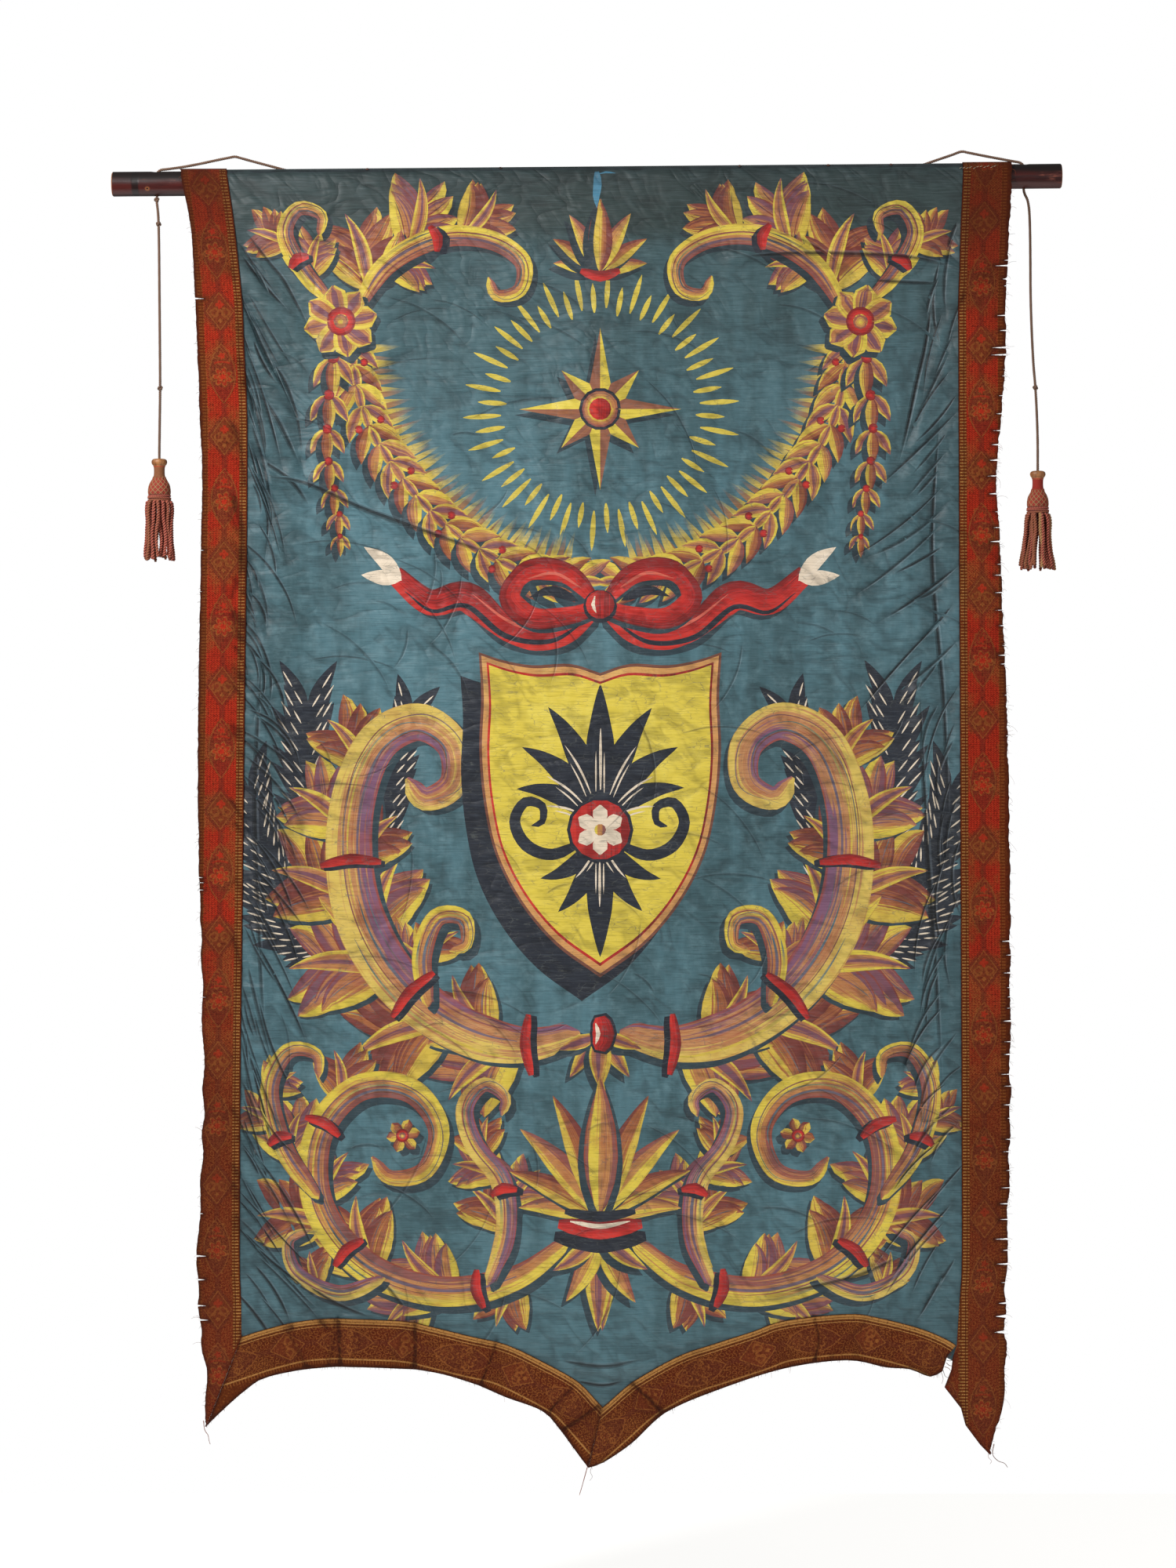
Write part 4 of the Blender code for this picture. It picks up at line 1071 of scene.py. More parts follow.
def worn_teal(s, tones, place, mottle, drift):
    """The bare cloth: faded in drifts, rubbed in spots, darker towards the bottom and over its upper part,
    and soiled along the pole.
    """
    x, y, z = s.parts(place)
    broad = s.noise(place, 2.4, 3)
    teal = s.mix(s.ramp(broad + (drift - 0.5) * 0.9, 0.3, 0.72), tones.teal_deep, tones.teal)
    teal = s.mix(s.ramp(mottle, 0.45, 0.75) * 0.35, teal, tones.teal_worn)
    # Darker towards the bottom
    low = s.ramp(z + (broad - 0.5) * 0.3, -1.5, -1.75)
    teal = s.mix(low * 0.4, teal, tones.teal_deep)
    # Darker over the upper part of the cloth, towards the pole
    upper = s.ramp(z + (broad - 0.5) * 0.2, -0.56, -0.14)
    teal = s.mix(upper * 0.56, teal, tones.teal_top)
    top = s.ramp(z + (drift - 0.5) * 0.05 + (broad - 0.5) * 0.08, -0.165, -0.095)
    teal = s.mix(top * 0.78, teal, tones.teal_top)
    stain_x, stain_z = (x - 0.05) / 0.2, (z + 0.07) / 0.075
    stain = 1 - s.ramp(stain_x * stain_x + stain_z * stain_z + (mottle - 0.5) * 1.4, 0.2, 1.3)
    return s.mix(stain * 0.45, teal, tones.teal_top)


def crumple(s, place, slip):
    """Fine crease lines that wander across the cloth: 1 on a line, 0 off it."""
    x, y, z = s.parts(place)
    wander = s.noise(s.vector((x + z * slip) * 3.2, (z - x * slip) * 13, slip * 9), 1.0, 1, 0.4, 0.25)
    where = s.noise(s.vector(x * 5, z * 5, slip * 5), 1.0, 2)
    return (1 - s.ramp(abs(wander - 0.5), 0.0, 0.018)) * s.ramp(where, 0.5, 0.62)


def painted_cloth_material(tones):
    """Teal sateen, worn and creased, with brushed paint over it."""
    s = Shading("painted_cloth")
    place = s.place()
    x, y, z = s.parts(place)
    drift = s.noise(s.vector(x * 26, z * 5, y), 1.0, 4, 0.6)
    mottle = s.noise(s.vector(x * 40, z * 40, y), 1.0, 4, 0.65)
    teal = worn_teal(s, tones, place, mottle, drift)

    run, across, share = s.parts(s.attribute("stroke"))
    cover, seed, way = s.parts(s.attribute("brush"))
    wander = s.noise(s.vector(run * 5.5, across * 0.6 + seed * 31, seed * 57), 1.0, 2, 0.5)
    hair = s.noise(s.vector(run * 9, across * 9 + seed * 17, seed * 91), 1.6, 3, 0.6)
    streak = s.noise(s.vector(run * 3.5, across * 6 + seed * 7, seed * 43), 1.0, 3, 0.7)
    both = way > 0.4
    one_sided = way > 0.75
    fading = (way > 0.1) * (1 - both)
    brushed = across * one_sided + (abs(across) * 2 - 1) * (1 - one_sided)
    tone = brushed * both * 0.36 + 0.45 + (wander - 0.5) * 0.7 + (hair - 0.5) * 0.3
    tone = tone + (streak - 0.5) * both * 0.95
    shade_tone, body = s.attribute("paint_shade", "Color"), s.attribute("paint_body", "Color")
    light, line = s.attribute("paint_light", "Color"), s.attribute("paint_edge", "Color")
    paint = s.mix(s.ramp(tone, 0.2, 0.36), shade_tone, body)
    paint = s.mix(s.ramp(tone, 0.52, 0.64), paint, light)
    bricks = s.largest(s.near(tone, 0.42, 0.03), s.near(tone, 0.24, 0.03) * 0.8)
    paint = s.mix(bricks * s.ramp(hair, 0.4, 0.55) * both * 0.7, paint, line)
    glaze = s.ramp(s.noise(s.vector(x * 15, z * 15, seed * 3), 1.0, 3, 0.6), 0.5, 0.7)
    paint = s.mix(glaze * both * 0.35, paint, line)
    border = s.ramp(0 - across + (hair - 0.5) * 0.4, 0.84, 0.97) * one_sided
    border = s.largest(border, s.ramp(abs(across) + (hair - 0.5) * 0.6, 0.93, 1.0) * both * 0.5)
    paint = s.mix(border * 0.8, paint, line)
    cracks = s.node(
        "ShaderNodeTexVoronoi", {"feature": "DISTANCE_TO_EDGE"},
        {"Vector": s.vector(x * 60 + (drift - 0.5) * 3, z * 190, 0.0), "Scale": 1.0, "Randomness": 1.0},
    )
    cracked = (1 - s.ramp(cracks, 0.0, 0.05)) * s.ramp(mottle, 0.42, 0.62)
    paint = s.mix(cracked * 0.45, paint, tones.crack)
    bare = s.ramp(hair + (mottle - 0.5) * 0.6, 0.76, 0.86) * s.ramp(share, 0.35, 1.0)
    faded = fading * s.ramp(share + (hair - 0.5) * 0.9, 0.4, 1.0)
    cover = cover * (1 - bare * 0.6) * (1 - cracked * 0.2) * (1 - faded)
    cloth = s.mix(cover, teal, paint)
    # Painted shade in the creases: their depth, the dark line along each fold and fine wandering crease lines
    # darken the cloth
    crease_shade, edge_darkening, _ = s.parts(s.attribute("wear"))
    aside, along, depth = s.parts(s.attribute("fold_line"))
    fade = s.ramp(along, 0.0, 0.14) * s.ramp(along, 1.0, 0.7) * depth
    fold = s.largest(s.near(aside, 0.1, 0.55), s.near(aside, 0.2, 1.1) * 0.62) * fade
    lit = s.near(aside, -0.6, 0.42) * fade
    lines = s.largest(crumple(s, place, 0.35), crumple(s, place, -0.6))
    deep = s.largest(crease_shade * 0.3, fold, lines * 0.1)
    cloth = s.mix(deep, cloth, tones.crease_shade, "MULTIPLY")
    # Painted highlight along the lit side of each crease
    cloth = s.mix(lit * 0.7, cloth, tones.glint, "SCREEN")
    # Darker towards the cloth's cut edges
    cloth = s.mix(edge_darkening * 0.55, cloth, tones.crease_shade)
    # Painted shade: a dark line just below the cloth's top edge, at its fold over the pole
    lip = z - (x - POLE_LEFT_END[0]) * (POLE_RISE / POLE_LENGTH) - POLE_LEFT_END[1] - POLE_RADIUS
    lip_shade = s.near(lip + (drift - 0.5) * 0.006, -0.0035, 0.0028) * s.ramp(mottle, 0.3, 0.5)
    cloth = s.mix(lip_shade * 0.8, cloth, tones.crease_shade)

    ripple = s.noise(s.vector(x * 6, z * 62, y * 9), 1.0, 2, 0.5, 0.4)
    crinkle = s.noise(s.vector(x * 9, z * 21, y * 14), 1.0, 2, 0.5, 0.6)
    tuck = s.noise(s.vector((x + z) * 17, (z - x) * 7, y * 10), 1.0, 2, 0.5, 0.7)
    weft = s.noise(s.vector(x * 30, z * 640, y * 300), 1.0, 2, 0.6)
    # Painted shade and painted highlight along the fine horizontal weft ripples
    cloth = s.mix(s.ramp(weft, 0.5, 0.72) * 0.3, cloth, tones.crease_shade, "MULTIPLY")
    cloth = s.mix(s.ramp(weft, 0.5, 0.28) * 0.3, cloth, tones.glint, "SCREEN")
    folded = abs(crinkle - 0.5) + abs(tuck - 0.5) * 0.9 + ripple * 0.2
    # Painted shade in the valleys of the fine crinkles
    cloth = s.mix(s.ramp(folded, 0.24, 0.12) * 0.3, cloth, tones.crease_shade, "MULTIPLY")
    normal = s.bump(folded - fold * 0.16 + lit * 0.03, 0.013, 0.6)
    normal = s.bump(weft, 0.0004, 0.45, normal)
    normal = s.bump(cover * (0.6 + hair * 0.5), 0.0003, 0.5, normal)
    rough = 0.54 - cover * 0.04 + (mottle - 0.5) * 0.2
    return s.finish(Base_Color=cloth, Roughness=rough, Normal=normal, Specular_IOR_Level=0.36)


def flower(s, u, v, size, petals, depth=0.45):
    """How far a point lies out in a flower: 1 at the tips of its petals, in any direction."""
    turn = s.maths("ARCTAN2", v, u) * (petals / 2)
    reach = 1 - depth + depth * abs(s.maths("COSINE", turn))
    return s.maths("SQRT", u * u + v * v) / (reach * size)


# The woven pattern, in millimetres: its steps, its repeat, and its middle line
WEAVE_STEP = 1.1
WEAVE_REPEAT = 191.0
WEAVE_MIDDLE = 35.0
# Half the width and half the height of its lozenges, half the height of its vases, and its picots' spacing
LOZENGE = (21.0, 28.4)
VASE_HEIGHT = 47.0
PICOT = 4.8


def galloon_material(name, tones, hem):
    """Woven ribbon: lozenges and vases in rust and red, gold picots inside, a worn outer edge."""
    s = Shading(name)
    across, run, wear = s.parts(s.attribute("weave"))
    x, y, z = s.parts(s.place())
    a = s.maths("FLOOR", across / WEAVE_STEP) * WEAVE_STEP + WEAVE_STEP / 2
    r = s.maths("FLOOR", run / WEAVE_STEP) * WEAVE_STEP + WEAVE_STEP / 2
    u = a - WEAVE_MIDDLE
    v = (r % WEAVE_REPEAT) - WEAVE_REPEAT / 2
    w = s.maths("WRAP", v + WEAVE_REPEAT / 2, WEAVE_REPEAT / 2, -WEAVE_REPEAT / 2)  # 0 between two lozenges
    fade = s.noise(s.vector(across / 60, run / 85, 4.0), 1.0, 3, 0.6)
    thread = s.noise(s.vector(across / 1.1, run / 2.0, 7.0), 1.0, 2, 0.6)
    slub = s.noise(s.vector(across / 3.0, run / 3.6, 17.0), 1.0, 3, 0.7)
    dot = 2 * WEAVE_STEP
    dots = (s.maths("FLOOR", a / dot + r / dot) % 2.0) * (s.maths("FLOOR", a / dot - r / dot) % 2.0)

    drifted = run + (fade - 0.5) * 500
    aged = s.largest((1 - s.ramp(drifted, 60, 400)) * 0.55, s.ramp(drifted, 1180, 1560))
    aged = 1.0 if hem else aged
    ground, outline = (tones.hem if hem else tones.red), tones.ochre
    zigzag = ((r + abs((u % 4.4) - 2.2)) % 3.3) < 1.5
    waist = s.near(abs(v), VASE_HEIGHT, 36.0)
    lively = s.ramp(fade + waist * 0.14 - aged * 0.08, 0.5, 0.66) * (1 - s.maths("MULTIPLY", aged, 0.85))
    cloth = s.mix(lively * 0.8, ground, tones.bright_red)
    cloth = s.mix(s.maths("MULTIPLY", 0.6, aged) * (1 - lively * 0.6), cloth, tones.hem)
    cloth = s.mix(zigzag * 0.66, cloth, tones.dark_red)
    cloth = s.mix(dots * s.ramp(fade, 0.5, 0.4) * 0.5, cloth, outline)
    wave = s.maths("SINE", abs(u) * 0.42 + s.maths("COSINE", v * 0.13) * 1.7)
    tracery = s.near(abs(wave * s.maths("SINE", v * 0.31 + abs(u) * 0.12)), 0.5, 0.2)
    cloth = s.mix(tracery * (1 - lively) * (0.65 if hem else 0.4), cloth, outline)
    lozenge = abs(u) / LOZENGE[0] + abs(v) / LOZENGE[1]
    vase_side = LOZENGE[0] - abs(w) * abs(w) / 105.0
    vase = (abs(u) < vase_side) * (abs(w) < VASE_HEIGHT)
    mauve = s.largest(lozenge < 1.32, vase, (abs(u) < 4.0) * (abs(v) < 60.0))
    cloth = s.mix(mauve * 0.5, cloth, tones.mauve)
    cloth = s.mix((lozenge < 0.93) * 0.5, cloth, tones.rust)
    rims = s.largest(s.near(lozenge, 1.0, 0.055), s.near(abs(u) - vase_side, -1.5, 1.2) * vase * 0.8)
    bud = flower(s, u, v + 10.0, 7.0, 4) < 1.0
    seed = flower(s, u, v - 14.5, 3.6, 4) < 1.0
    leaves = s.near(flower(s, abs(u) - 8.5, v - 2.0, 7.5, 3, 0.3), 0.85, 0.28)
    fronds = s.near(abs(u) * 0.9 - v * 0.8 - 2.0, 0.0, 2.2) * (abs(u) < 13.0) * (abs(v) < 15.0)
    blossom = flower(s, u, w + 27.0, 13.5, 5, 0.55)
    calyx = s.largest(s.near(blossom, 1.0, 0.13), s.near(blossom, 0.5, 0.12) * 0.8)
    rings = s.near(flower(s, abs(u) - 13.0, w - 8.0, 4.6, 2, 0.0), 0.8, 0.3)
    ochre = s.largest(rims, seed, leaves * 0.7, fronds * 0.6, calyx * 0.75, rings * 0.8)
    cloth = s.mix(ochre * (0.8 if hem else 0.55), cloth, outline)
    palmette = flower(s, u, w - 5.0, 15.0, 7, 0.5)
    heart = flower(s, u, w - 5.0, 5.5, 5, 0.3) < 1.0
    bowl = s.near(w + 18.0 - u * u / 60.0, 0.0, 2.0) * (abs(u) < 12.0)
    petals = (palmette < 1.0) * (palmette > 0.42) * (0.4 + zigzag * 0.35)
    glow = s.largest(petals, bowl * 0.6, bud * 0.75, heart, (blossom < 0.42) * 0.8)
    bright = tones.rust if hem else tones.bright_red
    cloth = s.mix(glow * (0.5 if hem else 0.8) * (1 - s.maths("MULTIPLY", aged, 0.45)), cloth, bright)
    petal_rims = s.largest(s.near(palmette, 0.5, 0.12), s.near(palmette, 1.0, 0.1))
    cloth = s.mix(petal_rims * 0.6, cloth, outline)

    picot = ((run % PICOT) < 1.9) * s.ramp(thread + (slub - 0.5) * 1.2, 0.2, 0.75)
    outer = (abs(a - 65.8) < 2.6) * picot
    if hem:
        gold = s.largest(s.near(a, 2.4, 2.4), s.near(a, 6.6, 2.0), s.near(a, 11.5, 1.1), s.near(a, 61.5, 1.2))
        border = s.largest(a < 9.5, a > 63.0)
    else:
        gold = s.largest((abs(a - 4.6) < 2.6) * picot, (abs(a - 10.4) < 1.2) * picot * 0.8)
        border = s.largest(a < 12.0, a > 61.0)
    cloth = s.mix(s.maths("MULTIPLY", 0.22, aged), cloth, tones.hem)
    cloth = s.mix(border * 0.85, cloth, tones.border)
    cloth = s.mix(gold * (0.6 if hem else 0.95), cloth, tones.gold)
    cloth = s.mix(s.largest(outer, (abs(a - 60.2) < 0.9) * picot) * 0.8, cloth, tones.ochre)
    # A dark line along the inner edge: the sewn seam, with painted shadow at it
    cloth = s.mix(s.near(across, 0.0, 1.3) * 0.85, cloth, tones.seam)
    cloth = s.mix(s.near(a, 8.0, 0.8) * 0.5, cloth, tones.seam)
    twill = s.maths("SINE", (across + run) * 2.9)
    cloth = s.mix(s.ramp(twill + thread - 0.5, 0.1, 1.2) * 0.2, cloth, tones.dark_red)
    cloth = s.mix(s.ramp(slub, 0.5, 0.68) * 0.7, cloth, tones.soil)
    cloth = s.mix(s.ramp(slub, 0.46, 0.3) * (0.5 if hem else 0.25), cloth, tones.ochre)
    stain = s.noise(s.vector(x * 9, z * 6, 2.0), 1.0, 4, 0.6)
    soiled = s.ramp(stain, 0.5, 0.75) * 0.35 + s.ramp(run + (fade - 0.5) * 160, 330, 60) * (0 if hem else 0.5)
    cloth = s.mix(soiled, cloth, tones.soil)
    # Wear along the frayed edge, and painted shade in the creases, darken the ribbon
    cloth = s.mix(wear * 0.75, cloth, tones.soil)
    cloth = s.mix(s.ramp(wear + (slub - 0.5) * 0.3, 0.4, 0.8) * (0.65 if hem else 0.3), cloth, tones.seam)

    ribs = s.maths("SINE", run * 5.7) * 0.25
    woven = s.largest(gold * 0.9, ochre * 0.4, glow * 0.35) + thread * 0.5 + ribs + twill * 0.15
    normal = s.bump(woven, 0.0011, 0.8)
    pucker = s.noise(s.vector(x * 30, z * 22, y * 30), 1.0, 3, 0.6, 0.5)
    normal = s.bump(pucker, 0.009 if hem else 0.006, 0.6, normal)
    rough = 0.84 - gold * 0.2 + (thread - 0.5) * 0.1
    return s.finish(Base_Color=cloth, Roughness=rough, Normal=normal, Specular_IOR_Level=0.07)


def thread_material(tones):
    """Loose threads, each in one of the ribbon's colours."""
    s = Shading("frayed_thread")
    run, lobe, seed = s.parts(s.attribute("twine"))
    tone = s.mix(s.ramp(seed, 0.3, 0.5), tones.rust, tones.border)
    tone = s.mix(s.ramp(seed, 0.72, 0.86), tone, tones.seam)
    normal = s.bump(s.maths("SINE", run * 7), 0.0001, 0.5)
    return s.finish(Base_Color=tone, Roughness=0.9, Normal=normal)


def twine_material(name, low, high, dirt, spin, odd=None):
    """Twisted yarn: painted shade in its grooves, pale on its strands; the odd strand may have its own tint.
    """
    s = Shading(name)
    run, lobe, seed = s.parts(s.attribute("twine"))
    place = s.place()
    fibre = s.noise(place, 1400, 2, 0.6)
    patch = s.noise(place, 38, 3, 0.6)
    raised_lobe = lobe + (fibre - 0.5) * 0.5
    # Painted shade darkens the grooves between the strands
    tone = s.mix(s.ramp(raised_lobe, 0.25, 0.9), low, high)
    tone = s.mix(s.ramp(patch * 0.6 + seed * 0.6, 0.45, 0.85) * 0.8, tone, dirt)
    if odd:
        tone = s.mix(s.ramp(seed, 0.88, 0.9) * s.ramp(raised_lobe, 0.05, 0.7), tone, odd)
    normal = s.bump(fibre + s.maths("SINE", run * spin + lobe * 4) * 0.3, 0.00025, 0.7)
    return s.finish(
        Base_Color=tone, Roughness=0.85 - lobe * 0.1, Normal=normal, Sheen_Weight=0.08,
        Specular_IOR_Level=0.3,
    )


# Marks on the pole, in metres: its middle, a worn collar round it, and a bare spot with a pit in it
POLE_MIDDLE = -0.0174
WORN_COLLAR = -0.7097
BARE_SPOT = (-0.691, -0.0575)


def pole_material(tones):
    """Dark red lacquer over wood, scuffed at the ends and rubbed along its length, with painted shade over
    its upper half and in its pit.
    """
    s = Shading("pole_wood")
    place = s.place()
    x, y, z = s.parts(place)
    grain = s.noise(s.vector(x * 3.2, y * 60, z * 60), 1.0, 5, 0.62, 0.7)
    fine = s.noise(s.vector(x * 40, y * 420, z * 420), 1.0, 3, 0.6)
    patch = s.noise(s.vector(x * 14, y * 22, z * 22), 1.0, 4, 0.6)
    wood = s.mix(s.ramp(grain + (fine - 0.5) * 0.3, 0.36, 0.62), tones.lacquer_dark, tones.lacquer)
    axis = (x - POLE_LEFT_END[0]) * (POLE_RISE / POLE_LENGTH) + POLE_LEFT_END[1]
    up = (z - axis) / POLE_RADIUS
    # Painted shade: the pole's upper half darkened almost to black
    wood = s.mix(s.ramp(up + (patch - 0.5) * 0.5, -0.1, 0.5) * 0.94, wood, tones.grime_and_shade)
    ends = s.ramp(abs(x + 0.017), 0.655, 0.729)
    scuff = s.ramp(patch + (fine - 0.5) * 0.5 + ends * 0.06, 0.7, 0.8) * (1 - s.ramp(up, 0.0, 0.4))
    wood = s.mix(scuff * 0.45, wood, tones.scuff)
    collar = s.near(x + (patch - 0.5) * 0.003, WORN_COLLAR, 0.0072)
    wood = s.mix(collar * 0.85, wood, tones.grime_and_shade)
    spot_x, spot_z = (x - BARE_SPOT[0]) / 0.0034, (z - BARE_SPOT[1]) / 0.0028
    spot = s.maths("SQRT", spot_x * spot_x + spot_z * spot_z) + (fine - 0.5) * 0.5
    front = y < 0.0
    wood = s.mix((1 - s.ramp(spot, 0.5, 1.5)) * front * 0.5, wood, tones.bare_wood)
    # Painted shade in the pit
    pit = (1 - s.ramp(spot, 0.3, 0.5)) * front
    wood = s.mix(pit, wood, tones.grime_and_shade)
    sawn = s.ramp(abs(x - POLE_MIDDLE), 0.7272, 0.7282)
    rings = s.maths("SINE", s.maths("SQRT", y * y + (z - axis) * (z - axis) * 1.3) * 3400 + grain * 5)
    wood = s.mix(sawn * (0.5 + rings * 0.25), wood, tones.bare_wood)
    scratch = s.noise(s.vector(x * 30, y * 900, z * 900), 1.0, 1)
    normal = s.bump(grain * 0.6 + fine * 0.4 + scratch * 0.3, 0.0004, 0.5)
    normal = s.bump(0 - pit * 1.0 - collar * 0.12, 0.0012, 0.8, normal)
    rough = 0.3 + (patch - 0.5) * 0.3 + scuff * 0.3 + sawn * 0.35
    dull = s.ramp(up, 0.0, 0.6)
    return s.finish(
        Base_Color=wood,
        Roughness=rough + dull * 0.3,
        Normal=normal,
        Coat_Weight=(0.14 - scuff * 0.06 - sawn * 0.1) * (1 - dull),
        Coat_Roughness=0.25,
        Specular_IOR_Level=0.3,
    )


def tack_material(tones):
    """Blued iron, rusty in patches."""
    s = Shading("tack_iron")
    place = s.place()
    patch = s.noise(place, 420, 4, 0.65)
    fine = s.noise(place, 2600, 2)
    iron = s.mix(s.ramp(patch + (fine - 0.5) * 0.3, 0.42, 0.6), tones.iron, tones.iron_rust)
    normal = s.bump(patch + fine * 0.4, 0.0003, 0.6)
    rough = 0.42 + s.ramp(patch, 0.42, 0.6) * 0.4
    metal = 0.85 - s.ramp(patch, 0.42, 0.6) * 0.6
    return s.finish(Base_Color=iron, Roughness=rough, Metallic=metal, Normal=normal)


def tassel_head_material(name, tones, neck):
    """A turned wooden cap, a wound neck and a netted bell."""
    s = Shading(name)
    turn, height, net = s.parts(s.attribute("turned"))
    place = s.place()
    grain = s.noise(s.vector(turn * 9, height * 0.04, 3.0), 1.0, 4, 0.6)
    fine = s.noise(place, 900, 3, 0.6)
    wood = s.mix(s.ramp(grain + (fine - 0.5) * 0.4, 0.35, 0.65), tones.cap_dark, tones.cap)
    line = s.near(height, 12.4, 1.1)
    wood = s.mix(line * 0.9, wood, tones.bell_red)
    # The wound neck, darker between its turns as painted shade
    wound = s.maths("SINE", height * 7.4 + turn * 6.28)
    yarn = s.mix(s.ramp(wound + (fine - 0.5), -0.6, 0.6), neck[0], neck[1])
    body = s.mix(s.ramp(height + (fine - 0.5) * 0.6, CAP_FOOT, CAP_FOOT + 0.5), wood, yarn)
    bell = s.mix(s.ramp(fine + (grain - 0.5) * 0.6, 0.3, 0.7), tones.bell_dark, tones.bell_red)
    bell = s.mix(s.ramp(net, 0.35, 0.62), bell, tones.net)
    netted = s.ramp(height, NET_DEPTHS[0], NET_DEPTHS[0] + 3.5)
    body = s.mix(netted, body, bell)
    # Painted shade on the bell's foot, under and between the collar cords
    foot = s.ramp(height + (fine - 0.5), NET_DEPTHS[1] - 2, NET_DEPTHS[1])
    body = s.mix(foot, body, tones.skirt_shade)
    soil = s.noise(place, 75, 3, 0.6)
    body = s.mix(s.ramp(soil, 0.52, 0.75) * 0.4, body, tones.soil)
    wool = s.ramp(height, CAP_FOOT, CAP_FOOT + 0.5)
    normal = s.bump(fine * 0.5 + wound * wool * (1 - netted) * 0.5, 0.0004, 0.7)
    return s.finish(Base_Color=body, Roughness=0.5 + wool * 0.32 + (fine - 0.5) * 0.15, Normal=normal)


# Geometry of the cloth


def solid_sheet(name, front, back, stand, creases, curl=None):
    """A closed sheet of cloth from its flat front and back nets."""
    flats = [front[0], back[0]]
    places = []
    for flat, depth in zip(flats, (stand + CLOTH, stand)):
        forward = relief(flat, creases)
        if curl is not None:
            forward = forward + curl(flat)
        places.append(hung(flat, depth, forward))
    shift = len(flats[0])
    mates = {tuple(np.round(p, 6)): i for i, p in enumerate(flats[1])}
    rim = rim_edges(front[1])
    mate = {i: mates[tuple(np.round(flats[0][i], 6))] + shift for i in set(rim.ravel())}
    faces = front[1].tolist()
    faces += [(c + shift, b + shift, a + shift) for a, b, c in back[1].tolist()]
    faces += [(b, a, mate[a], mate[b]) for a, b in rim.tolist()]
    return linked(name, np.concatenate(places), faces)


def bake_map(mesh, fronts, backs, layout):
    """Lays the front and back faces out flat, and the rim as a row of small squares below them."""
    made = mesh.uv_layers.new(name="OFBake")
    rims = (len(mesh.loops) - len(fronts) * 3 - len(backs) * 3) // 4
    across = (np.arange(rims)[:, None] + np.array([0.1, 0.9, 0.9, 0.1])) / rims
    down = np.broadcast_to(np.array([0.002, 0.002, 0.012, 0.012]), across.shape)
    parts = [layout(fronts, 0), layout(backs[:, ::-1], 1), np.stack([across, down], axis=2)]
    places = np.concatenate([part.reshape(-1, 2) for part in parts])
    made.data.foreach_set("uv", places.astype(np.float32).ravel())


def shade(mesh, sharp=50):
    """Faces turned outward and shaded smooth but for sharp edges."""
    bm = bmesh.new()
    bm.from_mesh(mesh)
    bmesh.ops.recalc_face_normals(bm, faces=bm.faces)
    bm.to_mesh(mesh)
    bm.free()
    mesh.shade_smooth()
    mesh.set_sharp_from_angle(angle=math.radians(sharp))


def give(mesh, name, kind, domain, values):
    """Writes an attribute to a mesh."""
    made = mesh.attributes.new(name, kind, domain)
    field = "color" if kind == "FLOAT_COLOR" else "vector" if kind == "FLOAT_VECTOR" else "value"
    made.data.foreach_set(field, np.asarray(values, np.float32).ravel())


def panel_outline():
    """The painted panel as it was cut."""
    lap = Vector((LAP, 0))
    left_top, _ = band_lines(LEFT_BAND)
    right_top, _ = band_lines(RIGHT_BAND)
    hem = [p + Vector((0, LAP)) for p in left_top + right_top[1:]]
    left = edge("left_inner") + in_metres([LEFT_CORNER])
    right = edge("right_inner") + in_metres([RIGHT_CORNER])
    return [p - lap for p in left] + hem + [p + lap for p in reversed(right)]


def cut_slits(line, slits, inward):
    """A worn edge with its slits cut in."""
    cut = list(line)
    for slit in slits:
        drop, half = slit.drop * MM, slit.width * MM / 2
        flat = as_array(cut)
        mouth = Vector((np.interp(drop, flat[:, 1], flat[:, 0]), drop))
        cut = [p for p in cut if abs(p.y - drop) > half + 0.7 * MM]
        after = next(i for i, p in enumerate(cut) if p.y > drop)
        tip = mouth + Vector((inward * slit.depth * MM, 0.3 * half))
        cut[after:after] = [mouth - Vector((0, half)), tip, mouth + Vector((0, half))]
    return cut


def worn_edge(line, inward, bite, drawn):
    """An outer edge nibbled back by wear."""
    points = even_line(line, 4.5 * MM)
    worn = [points[0]]
    depth = 0.0
    for p in points[1:-1]:
        depth = max(0.0, min(bite, depth * 0.6 + drawn.uniform(-0.45, 0.6) * bite))
        wave = (1.6 + 1.6 * math.sin(p.y * 74 + 1.3 * math.sin(p.y * 21))) * eased((p.y - 1.0) / 0.3)
        worn.append(p + Vector((inward * (depth + wave) * MM, 0)))
    return worn + [points[-1]]


def small_slits(low, high, count, drawn):
    """Short nicks between the long slits."""
    ranges = ((low, high), (2.5, 7), (0.8, 1.8))
    return [Slit(*(drawn.uniform(*pair) for pair in ranges)) for _ in range(count)]


